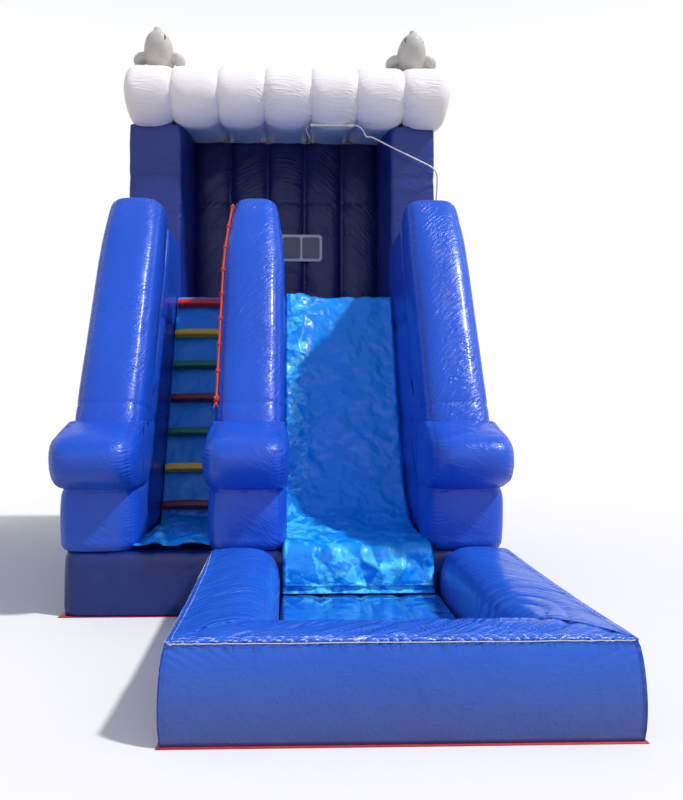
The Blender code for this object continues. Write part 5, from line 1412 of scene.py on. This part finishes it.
# both sheets start on the platform and end at the front
sheetUp = 0.004
sheetStart = [(edgeY + 0.40, platformTop + sheetUp), (edgeY + 0.08, platformTop + sheetUp),
              (edgeY + 0.02, platformTop + sheetUp - 0.002), (edgeY - 0.012, platformTop - 0.012)]


def rampLine(z):
    return edgeY - (platformTop - z) / math.tan(rampAngle)


def laidSheet(name, finish, stands, way, low, high, columns, lift):
    walk = evenly(way, False)

    def place(u, v):
        y, z = walk(v)
        return low + (high - low) * u, y, z

    def shape(points, normals, push, crease, u, v):
        return lift(points[..., 0], v * walk.length, u, v)
    mesh = skin(name, columns, 400, place, wave=0.0, waveSize=1.0, closed=False, shape=shape)
    made = thicken(piece(name, mesh, finish, [stands]), 0.0016)
    high - low


def makeLiner():
    plan = {
        "fillet": 1.20, "low": dividerX + 0.328, "high": laneX - 0.008, "spare": 0.035, "start": 0.105, "most": 0.075,
        # over the base's edge and down onto the pool's floor: how far forward, how high
        "drop": ((-0.05, deckZ + sheetUp), (-0.012, deckZ + 0.001), (0.004, deckZ - 0.02), (0.010, 0.30),
                 (0.024, 0.245), (0.060, 0.226), (0.120, 0.222)),
        "strength": (0.36, 0.80, 0.35, 0.60),       # everywhere, at the left, at the right, low down
    }
    fillet = plan["fillet"]
    centre = (rampLine(deckZ) - fillet * math.tan(rampAngle / 2), deckZ + fillet)
    way = list(sheetStart)
    for angle in np.linspace(rampAngle, 0, 30):
        y, z = centre[0] + fillet * math.sin(angle), centre[1] - fillet * math.cos(angle)
        way.append((y - sheetUp, z + sheetUp))
    way += [(frontY - forward, z) for forward, z in plan["drop"]]
    wide, long = plan["high"] - plan["low"], evenly(way, False).length
    field = settled("liner_cloth", wide, long, lambda x, y: plan["start"] * crumple(x, y, 7)[0], plan["spare"])

    def lift(x, s, u, v):
        left, right, lower = bell(u - 0.03, 0.17), bell(u - 1.0, 0.09), rising(v, 0.62, 0.14)
        even, atLeft, atRight, below = plan["strength"]
        strength = even + atLeft * left + atRight * right + below * lower
        height = np.maximum(field(u, v) + 0.01, 0) * strength
        height = height * within(v / 0.03) * np.clip(np.minimum(u, 1 - u) / 0.02, 0.25, 1)
        # over the base's edge it hangs in loose folds
        drop = rising(v, 0.915, 0.03)
        hang = (0.035 * folds(x + 0.20 * ripple(x, s, 0.4, 5), 0.30, 9) + 0.040 * crumple(x, s, 57)[0]) * drop
        tint = crumple(x, s, 7)[1]
        # painted light: pale facets where the sun falls, on the left strip, low down and on the drop
        lit = within(0.12 + 1.2 * left + 0.7 * lower * (1.25 - u) + 0.5 * drop)
        resting = np.clip((1.0 - v) / 0.02, 0.06, 1)       # its end lies on the pool floor
        return (np.minimum(height, plan["most"]) + hang) * resting, within((tint - 0.30) * 2.2) * lit
    laidSheet("slide_liner_sheet", "liner", "slide_liner", way, plan["low"], plan["high"], 110, lift)


def makeMat():
    plan = {
        "low": 0.008 - laneX, "high": dividerX - 0.328, "spare": 0.03, "start": 0.070,
        "tents": ((0.12, -1.14, 0.09), (0.05, -0.80, 0.12)), "tentAt": (0.968, 0.03),     # height, place, width
    }
    way = sheetStart + [(rampLine(z) - sheetUp, z) for z in np.linspace(platformTop - 0.1, deckZ + 0.10, 12)]
    way += [(rampLine(deckZ) - 0.06, deckZ + 0.025), (rampLine(deckZ) - 0.14, deckZ + sheetUp), (-1.9, deckZ + sheetUp),
            (frontY + 0.03, deckZ + sheetUp)]
    wide, long = dividerX - 0.328 - 0.008 + laneX, evenly(way, False).length
    field = settled("mat_cloth", wide, long, lambda x, y: plan["start"] * crumple(x, y, 107)[0], plan["spare"])

    def lift(x, s, u, v):
        flap, low = rising(v, 0.90, 0.06), rising(v, 0.62, 0.10)
        height = np.maximum(field(u, v) + 0.008, 0) * (0.30 + 0.80 * low) * within(v / 0.04)
        tent = sum(high * bell(x - at, width) for high, at, width in plan["tents"])
        tent = tent * flap * bell(v - plan["tentAt"][0], plan["tentAt"][1])
        tint = crumple(x, s, 107)[1]
        # painted light: pale lit facets, more of them low down
        return height + tent, within((tint - 0.42) * 3.5) * (0.15 + 0.6 * low)
    laidSheet("stair_mat_sheet", "mat", "stair_mat", way, plan["low"], plan["high"], 80, lift)


def makeTreads():
    # padded bars across the stair lane, from the top one down
    plan = {
        "colours": ("red", "yellow", "green", "maroon", "green", "yellow", "maroon"), "top": 3.205 - 0.0425,
        "pitch": 0.398, "out": 0.009, "deep": 0.13, "high": 0.085, "bow": 0.012,
        "section": ((0.0, 0.5), (0.0, -0.5), (0.86, -0.52), (1.0, -0.36), (1.0, 0.30), (0.84, 0.50)),
    }
    xLow, xHigh = 0.014 - laneX, dividerX - 0.334
    out = np.array((0.0, -math.sin(rampAngle), math.cos(rampAngle)))
    up = np.array((0.0, math.cos(rampAngle), math.sin(rampAngle)))
    walk = evenly(rounded(plan["section"], 2))
    seams = [seam("across", at, 0.004, 0.012, 0.005, 0.05, 0.02) for at in (0.03, 0.97)]
    seams.append(seam("along", 0.32, 0.003, 0.006, 0.004, 0.03, 0.03))
    for i, colour in enumerate(plan["colours"]):
        z = plan["top"] - plan["pitch"] * i
        seat = np.array((0.0, rampLine(z), z)) + out * plan["out"]

        def place(u, v):
            reach, rise = walk(u)
            size = (0.90 + 0.10 * nearEnd(v, 0.05) ** 0.5) * nearEnd(v, 0.008) ** 0.5
            reach = (reach * size + (1 - size) * 0.4) * plan["deep"]
            rise = rise * size * plan["high"] + plan["bow"] * (1 - (2 * v - 1) ** 2)
            y, z = (seat[k] + out[k] * reach + up[k] * rise for k in (1, 2))
            return xLow + (xHigh - xLow) * v, y, z
        chamber(f"tread_{i + 1}", (36, 100), place, colour, f"step_{i + 1}", seams,
                (0.002, 0.09, 131 + i))


makeLiner()
makeMat()
makeTreads()
print("liner, mat and treads made")


def makeRope():
    plan = {
        "first": 0.11, "pitch": 0.3165, "last": 8, "sag": 0.014,      # of the holders, and the rope between
        "out": 0.879, "over": 0.679, "lean": (0.869, 0.494),         # where it runs on the rail's round side
        "clear": 0.02485, "narrow": 0.50, "start": 0.085, "spare": 0.05, "thick": 0.0125, "parts": 220,
        # an overhand knot is a small trefoil of the rope itself
        "knot": {"near": 0.0135, "sway": 0.0055, "along": 0.014, "thick": 0.0085, "steps": 40, "firstSize": 1.25},
        "holder": {"in": 0.010, "wide": 0.017, "long": 0.022, "thick": 0.004, "steps": 24},
        "tails": ((-0.016, 0.045), (0.012, 0.032)), "tailThick": 0.006,
    }
    along = Vector((0.0, math.cos(rail["angle"]), math.sin(rail["angle"])))
    up = Vector((0.0, -along.z, along.y))
    foot = Vector((dividerX, frontY + rail["foot"], rail["start"]))
    radius, clear, (leanX, leanUp) = rail["width"] / 2, plan["clear"], plan["lean"]
    off = Vector((-radius * plan["out"] - clear * leanX, 0, 0)) + up * (radius * plan["over"] + clear * leanUp)
    straight = rail["length"] - rail["taper"]

    def at(way):
        past = max(0.0, (way - straight) / rail["taper"])
        narrow = plan["out"] * past ** 1.6 * (rail["width"] - plan["narrow"]) / 2
        sag = plan["sag"] * math.sin(math.pi * ((way - plan["first"]) / plan["pitch"] % 1)) ** 2
        return (foot + along * way + off + Vector((narrow, 0, 0))
                - up * (sag + plan["over"] * past ** 2 * rail["fall"]))

    def ring(steps, spot):
        return [spot(2 * math.pi * k / steps) for k in range(steps)]
    begin, last, parts = plan["start"], plan["first"] + plan["pitch"] * plan["last"], plan["parts"]
    line = [at(begin + (last + plan["spare"] - begin) * i / parts) for i in range(parts + 1)]
    runs, holders = [tubeMesh("rope", line, plan["thick"], 10)], []
    sideways, inward = Vector((1, 0, 0)), Vector((leanX, 0, 0)) - up * leanUp
    knot, holder = plan["knot"], plan["holder"]
    for i in range(plan["last"] + 1):
        centre = at(plan["first"] + plan["pitch"] * i)
        size = 1.0 if i else knot["firstSize"]

        def knotted(a):
            r = (knot["near"] + knot["sway"] * math.cos(3 * a)) * size
            return (centre + sideways * r * math.cos(2 * a) + up * r * math.sin(2 * a)
                    + along * (knot["along"] * size * math.sin(3 * a)))

        def held(a):
            return (centre + inward * holder["in"] + (inward * math.cos(a) * holder["wide"])
                    + along * (holder["long"] * math.sin(a)))
        runs.append(tubeMesh("knot", ring(knot["steps"], knotted), knot["thick"] * size, 8, True))
        holders.append(tubeMesh("holder", ring(holder["steps"], held), holder["thick"], 6, True))
    start = at(begin)
    for sway, length in plan["tails"]:
        end = start - along * 0.03
        tail = [start, start - along * 0.02 + Vector((sway * 0.4, -0.004, 0)),
                end + Vector((sway, -0.008, -length * 0.5)), end + Vector((sway * 1.4, -0.006, -length))]
        runs.append(tubeMesh("tail", smoothLine(tail, 6), plan["tailThick"], 8))
    piece("hand_rope_line", runs, "rope", ["hand_rope"])
    piece("hand_rope_holders", holders, "rope")


def makeSign():
    plan = {"x": 0.228, "z": 4.30, "wide": 0.62, "high": 0.40, "corner": 0.05, "thick": 0.0038, "bevel": 0.001,
            "border": (0.10, 0.08), "apart": 0.014, "field": (0.03, 0.0012, 0.0003), "fieldOut": 0.0044}
    face = backWallY - gap
    mesh = roundedPlate("sign_frame", plan["wide"], plan["high"], plan["corner"], plan["thick"],
                        (plan["x"], face - 0.0020, plan["z"]), plan["bevel"])
    piece("sign_frame", mesh, "sign", ["sign_plate"])
    wide, high = (plan["wide"] - plan["border"][0]) / 2, plan["high"] - plan["border"][1]
    corner, thick, bevel = plan["field"]
    meshes = []
    for way in (-1, 1):
        place = (plan["x"] + way * (wide / 2 + plan["apart"]), face - plan["fieldOut"], plan["z"])
        meshes.append(roundedPlate("sign_field", wide, high, corner, thick, place, bevel))
    piece("sign_field", meshes, "signField")


def makePipe():
    plan = {
        "start": (0.33, 0.7106, 5.6482), "length": 0.57, "radius": 0.017, "cap": (0.021, 0.023),
        "holes": 10, "firstHole": 0.06, "pitch": 0.046, "face": -0.0124, "hole": (-0.003, 0.0028, 0.0004),
        "ties": ((0.02, 0.10), (0.17, 0.05), (0.26, 0.07), (0.46, 0.03), (0.53, 0.05)),      # place, length of its tail
        "curl": ((0.004, 0, 0), (-0.03, -0.006, -0.012), (-0.055, -0.012, -0.05), (-0.045, -0.014, -0.10),
                 (-0.02, -0.012, -0.15), (-0.012, -0.010, -0.19)),
    }
    start, length, radius, (rim, cap) = Vector(plan["start"]), plan["length"], plan["radius"], plan["cap"]
    section = [(0.0, 0.0), (0.0, rim), (0.002, cap), (0.028, cap), (0.030, rim), (0.030, radius)]
    end = ((0.06, radius), (0.06, rim), (0.058, cap), (0.002, cap), (0.0, rim), (0.0, 0.0))
    section += [(length - back, out) for back, out in end]
    tube = lathe("pipe", start, (1, 0, 0), section)
    piece("spray_pipe_tube", [tube], "pipe", ["spray_pipe"])
    deep, wide, out = plan["hole"]
    # painted shade: small dark discs stand in for the shadowed insides of the spray holes
    holes = []
    for i in range(plan["holes"]):
        at = start + Vector((plan["firstHole"] + plan["pitch"] * i, plan["face"], plan["face"]))
        holes.append(lathe("hole", at, (0, -1, -1), [(deep, 0.0), (deep, wide), (out, wide), (out, 0.0)], 12))
    piece("spray_pipe_holes", holes, "eye")
    ties = []
    for way, drop in plan["ties"]:
        c = start + Vector((way, 0, 0))
        loop = [c + Vector((0.003 * math.sin(2 * a), 0.024 * math.cos(a), 0.024 * math.sin(a)))
                for a in np.linspace(0, 2 * math.pi, 21)[:-1]]
        ties.append(tubeMesh("tie", loop, 0.0025, 6, True))
        steps = ((0, -0.024, -0.004), (0.006, -0.028, -0.02), (-0.008, -0.024, -drop * 0.6), (0.004, -0.020, -drop))
        tail = [c + Vector(step) for step in steps]
        ties.append(tubeMesh("tail", smoothLine(tail, 6), 0.0022, 6))
    curl = [start + Vector(step) for step in plan["curl"]]
    ties.append(tubeMesh("curl", smoothLine(curl, 8), 0.004, 8))
    piece("spray_pipe_ties", ties, "cord")


def makeFittings():
    # ribbed ferrule and neck on the hose's end, and the free nut on it
    plan = {"ferrule": 0.032, "clear": 0.0006, "nut": 0.024, "ribs": 5, "ribPitch": 0.006, "ribbed": (0.0128, 0.0135),
            "sides": 96, "outside": 0.0176, "ridges": (0.0172, 0.0008, 12)}
    start, ferrule, (low, high) = hoseEnd + hoseRun * gap, plan["ferrule"], plan["ribbed"]
    ribs = []
    for i in range(plan["ribs"]):
        way = 0.003 + plan["ribPitch"] * i
        ribs += [(way, low), (way + 0.001, high), (way + 0.004, high), (way + 0.005, low)]
    section = [(0.0, 0.0), (0.0, 0.0125)] + ribs
    section += [(ferrule, 0.0125), (ferrule, 0.009), (0.0382, 0.009), (0.0382, 0.0125), (0.0412, 0.0125), (0.0412, 0.0)]
    connector = piece("hose_ferrule", lathe("hose_ferrule", start, hoseRun, section), "coupling",
                      ["hose_connector"])
    back = ferrule + plan["clear"]
    front = back + plan["nut"]
    section = [(back, 0.0096), (back, 0.0165), (back + 0.0015, 0.018), (front - 0.0015, 0.018), (front, 0.0165),
               (front, 0.01325), (back + 0.005, 0.01325), (back + 0.005, 0.0096), (back, 0.0096)]
    mesh = lathe("hose_nut_ring", start, hoseRun, section, plan["sides"])
    across = hoseRun.orthogonal().normalized()
    third = hoseRun.cross(across)
    inner, depth, count = plan["ridges"]
    for corner in mesh.vertices:
        arm = corner.co - start
        way = arm.dot(hoseRun)
        radial = arm - hoseRun * way
        if radial.length > plan["outside"]:
            side = radial.normalized()
            wave = math.cos(count * math.atan2(side.dot(third), side.dot(across)))
            corner.co = start + hoseRun * way + side * (inner + depth * math.copysign(abs(wave) ** 0.5, wave))
    nut = piece("hose_nut_ring", mesh, "coupling", ["hose_nut"], body="hose_nut")
    return connector, nut


def makeAnchor(name, side, y):
    # a webbing loop on the base's side, and the steel ring that swings in it
    plan = {
        "x": 2.0091, "z": 0.20, "loop": 0.0064, "wide": 0.049, "thick": 0.0030,
        # the webbing above its loop: out from the middle and up from the ring, inner side and outer side
        "inner": ((2.0023, 0.129), (2.0023, 0.06), (2.0025, 0.004)),
        "outer": ((2.0068, 0.02), (2.0062, 0.06), (2.0060, 0.10)),
        "half": 0.0345, "drop": 0.060, "wire": 0.0039, "bar": (0.92, 0.6, 0.3, 0.0, -0.3, -0.6, -0.92),
    }
    x, z = side * plan["x"], plan["z"]
    outline = [(side * out, z + up) for out, up in plan["inner"]]
    for a in np.linspace(math.pi, -math.pi * 0.35, 16):
        outline.append((x + side * plan["loop"] * math.cos(a), z - plan["loop"] * math.sin(a)))
    outline += [(side * out, z + up) for out, up in plan["outer"]]
    bm = bmesh.new()
    verts = [bm.verts.new((px, y - plan["wide"] / 2, pz)) for px, pz in outline]
    edges = [bm.edges.new(pair) for pair in zip(verts, verts[1:])]
    grown = bmesh.ops.extrude_edge_only(bm, edges=edges)["geom"]
    bmesh.ops.translate(bm, verts=[g for g in grown if isinstance(g, bmesh.types.BMVert)], vec=(0, plan["wide"], 0))
    thicken(piece(name + "_webbing", finished(bm, name + "_webbing"), "webbing", [name + "_strap"]),
            plan["thick"])
    half, drop = plan["half"], plan["drop"]
    points = [Vector((x, y - half * share, z)) for share in plan["bar"]]
    for a in np.linspace(0, math.pi, 22):
        points.append(Vector((x, y + half * math.cos(a), z - drop * (0.12 + 0.86 * math.sin(a)))))
    piece(name + "_d_ring", tubeMesh(name + "_d_ring", points, plan["wire"], 12, True), "steel",
          [name + "_ring"], body=name.replace("_anchor", "") + "_ring")


def makeSleeve():
    plan = {
        "x": 1.20, "radius": 0.15, "length": 0.60, "wall": 0.004, "lift": 0.010, "start": 0.0005,
        "strap": 0.12, "strapWide": 0.04, "strapThick": 0.0028, "gather": (0.035, 0.25), "soft": 0.0022,
        "buckle": (0.018, 0.024), "frame": 0.0022, "tongue": 0.0018,
    }
    long, inner, soft = plan["length"], plan["start"], plan["soft"]
    centre = (plan["x"], plan["radius"] + plan["lift"])
    first, inside = long - plan["strap"], plan["radius"] + 2 * gap

    def place(u, v):
        # out along the outside, round the hem and back along the inside
        outside = v < 0.5
        way = np.where(outside, v * 2, (1 - v) * 2) * long
        angle = u * 2 * np.pi
        radius = np.where(outside, plan["radius"] - inner, plan["radius"] - plan["wall"])
        gather = bell(way - (first + plan["strapWide"] / 2), plan["gather"][0]) + plan["gather"][1]
        radius = radius + soft * np.sin(14 * angle + 3 * np.sin(way * 9)) * gather - soft * gather
        hem = 0.0012 * (np.abs(way - long + 0.015) < 0.012)
        radius = np.minimum(radius + hem, plan["radius"])
        return centre[0] + np.cos(angle) * radius, rearY + gap + inner + way, centre[1] + np.sin(angle) * radius
    piece("air_sleeve_skin", skin("air_sleeve_skin", 100, 110, place, (), 0.0, 1.0, 141), "blue",
          ["air_sleeve"])
    start, last = (plan["x"], rearY + gap, centre[1]), first + plan["strapWide"]
    edge, out = inside + 0.0022, inside + plan["strapThick"]
    section = [(first, inside), (first, edge), (first + 0.002, out), (last - 0.002, out), (last, edge), (last, inside),
               (first, inside)]
    piece("sleeve_strap_band", lathe("sleeve_strap_band", start, (0, 1, 0), section, 96), "webbing",
          ["sleeve_strap"])
    y, top, (wide, long) = rearY + gap + first + plan["strapWide"] / 2, centre[1] + out, plan["buckle"]
    ring = rounded([(-wide, -long), (wide, -long), (wide, long), (-wide, long)], 2)
    bars = [tubeMesh("buckle", [(plan["x"] + a, y + b, top + plan["frame"]) for a, b in ring], plan["frame"], 8, True),
            tubeMesh("buckle", [(plan["x"], y + b, top + plan["frame"]) for b in (-long, long)], plan["tongue"], 8)]
    piece("sleeve_strap_buckle", bars, "steel")


def makeZip():
    plan = {
        "x": -1.05, "z": 0.29, "length": 0.64, "short": 0.002, "tape": (0.0024, 0.088, 0.0015), "cuts": 24,
        "hem": (0.019, 0.004, 0.0136, 0.0071, 0.0552, 0.001),
        "teeth": 120, "pitch": 0.0051, "firstTooth": 0.014, "tooth": (0.0026, 0.0005, 0.0075), "toothOut": 0.0029,
        "toothUp": 0.0018, "slider": 0.03,
        "flap": {"wide": 0.70, "high": 0.13, "top": 0.355, "out": 0.0156, "wave": 0.0007, "thick": 0.0012},
    }
    middle, z, long = plan["x"], plan["z"], plan["length"]
    back, left = rearY + gap, middle - long / 2
    thick, high, out = plan["tape"]
    bm = bmesh.new()
    bmesh.ops.create_cube(bm, size=1.0)
    bmesh.ops.scale(bm, verts=bm.verts, vec=(long - plan["short"], thick, high))
    lengths = [e for e in bm.edges if abs(e.verts[0].co.x - e.verts[1].co.x) > 0.1]
    bmesh.ops.subdivide_edges(bm, edges=lengths, cuts=plan["cuts"], use_grid_fill=True)
    bmesh.ops.translate(bm, verts=bm.verts, vec=(middle, back + out, z))
    tape = finished(bm, "zip_tape_band")
    high, corner, thick, out, up, bevel = plan["hem"]
    hem = roundedPlate("hem", long - plan["short"], high, corner, thick, (middle, back + out, z + up), bevel)
    piece("zip_tape_band", [tape, hem], "webbing", ["zip_tape"])
    teeth = []
    for i in range(plan["teeth"]):
        bm = bmesh.new()
        boxIn(bm, plan["tooth"], (left + plan["firstTooth"] + i * plan["pitch"], back + plan["toothOut"],
                                  z + (plan["toothUp"] if i % 2 else -plan["toothUp"])))
        teeth.append(finished(bm, "tooth"))
    piece("zip_teeth", teeth, "zip", smooth=False)
    x = left + plan["slider"]
    slider = roundedPlate("slider", 0.031, 0.013, 0.004, 0.005, (x + 0.016, back + 0.0064, z), 0.0012)
    pull = roundedPlate("pull", 0.024, 0.0085, 0.003, 0.0016, (x + 0.019, back + 0.0101, z), 0.0004)
    piece("zip_slider_body", [slider, pull], "steel", ["zip_slider"],
          body="zip_slider")
    flap = plan["flap"]

    def place(u, v):
        return (middle - flap["wide"] / 2 + flap["wide"] * u, rearY + flap["out"] + 0 * u,
                flap["top"] - flap["high"] * v)

    def shape(points, normals, push, crease, u, v):
        points[..., 1] = rearY + flap["out"] + flap["wave"] * np.sin(u * 40) * v
        return push * 0, crease
    mesh = skin("zip_flap_sheet", 90, 20, place, (), 0.0, 1.0, 1, False, shape)
    made = thicken(piece("zip_flap_sheet", mesh, "blue", ["zip_flap"], body="zip_flap"), flap["thick"])
    flap["wide"]
    flap["high"]


makeRope()
makeSign()
makePipe()
connector, nut = makeFittings()
for name, y in (("front", -1.75), ("rear", 1.75)):
    makeAnchor(name + "_left_anchor", -1, y)
    makeAnchor(name + "_right_anchor", 1, y)
makeSleeve()
makeZip()
print("details made")

for name in ("slide_ramp", "stair_ramp"):      # under the liner and the mat
    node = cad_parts[name]
    node.data.materials.clear()
    node.data.materials.append(finishes["mat"].block)

hoseRoute[0]
hosePlan["diameter"]
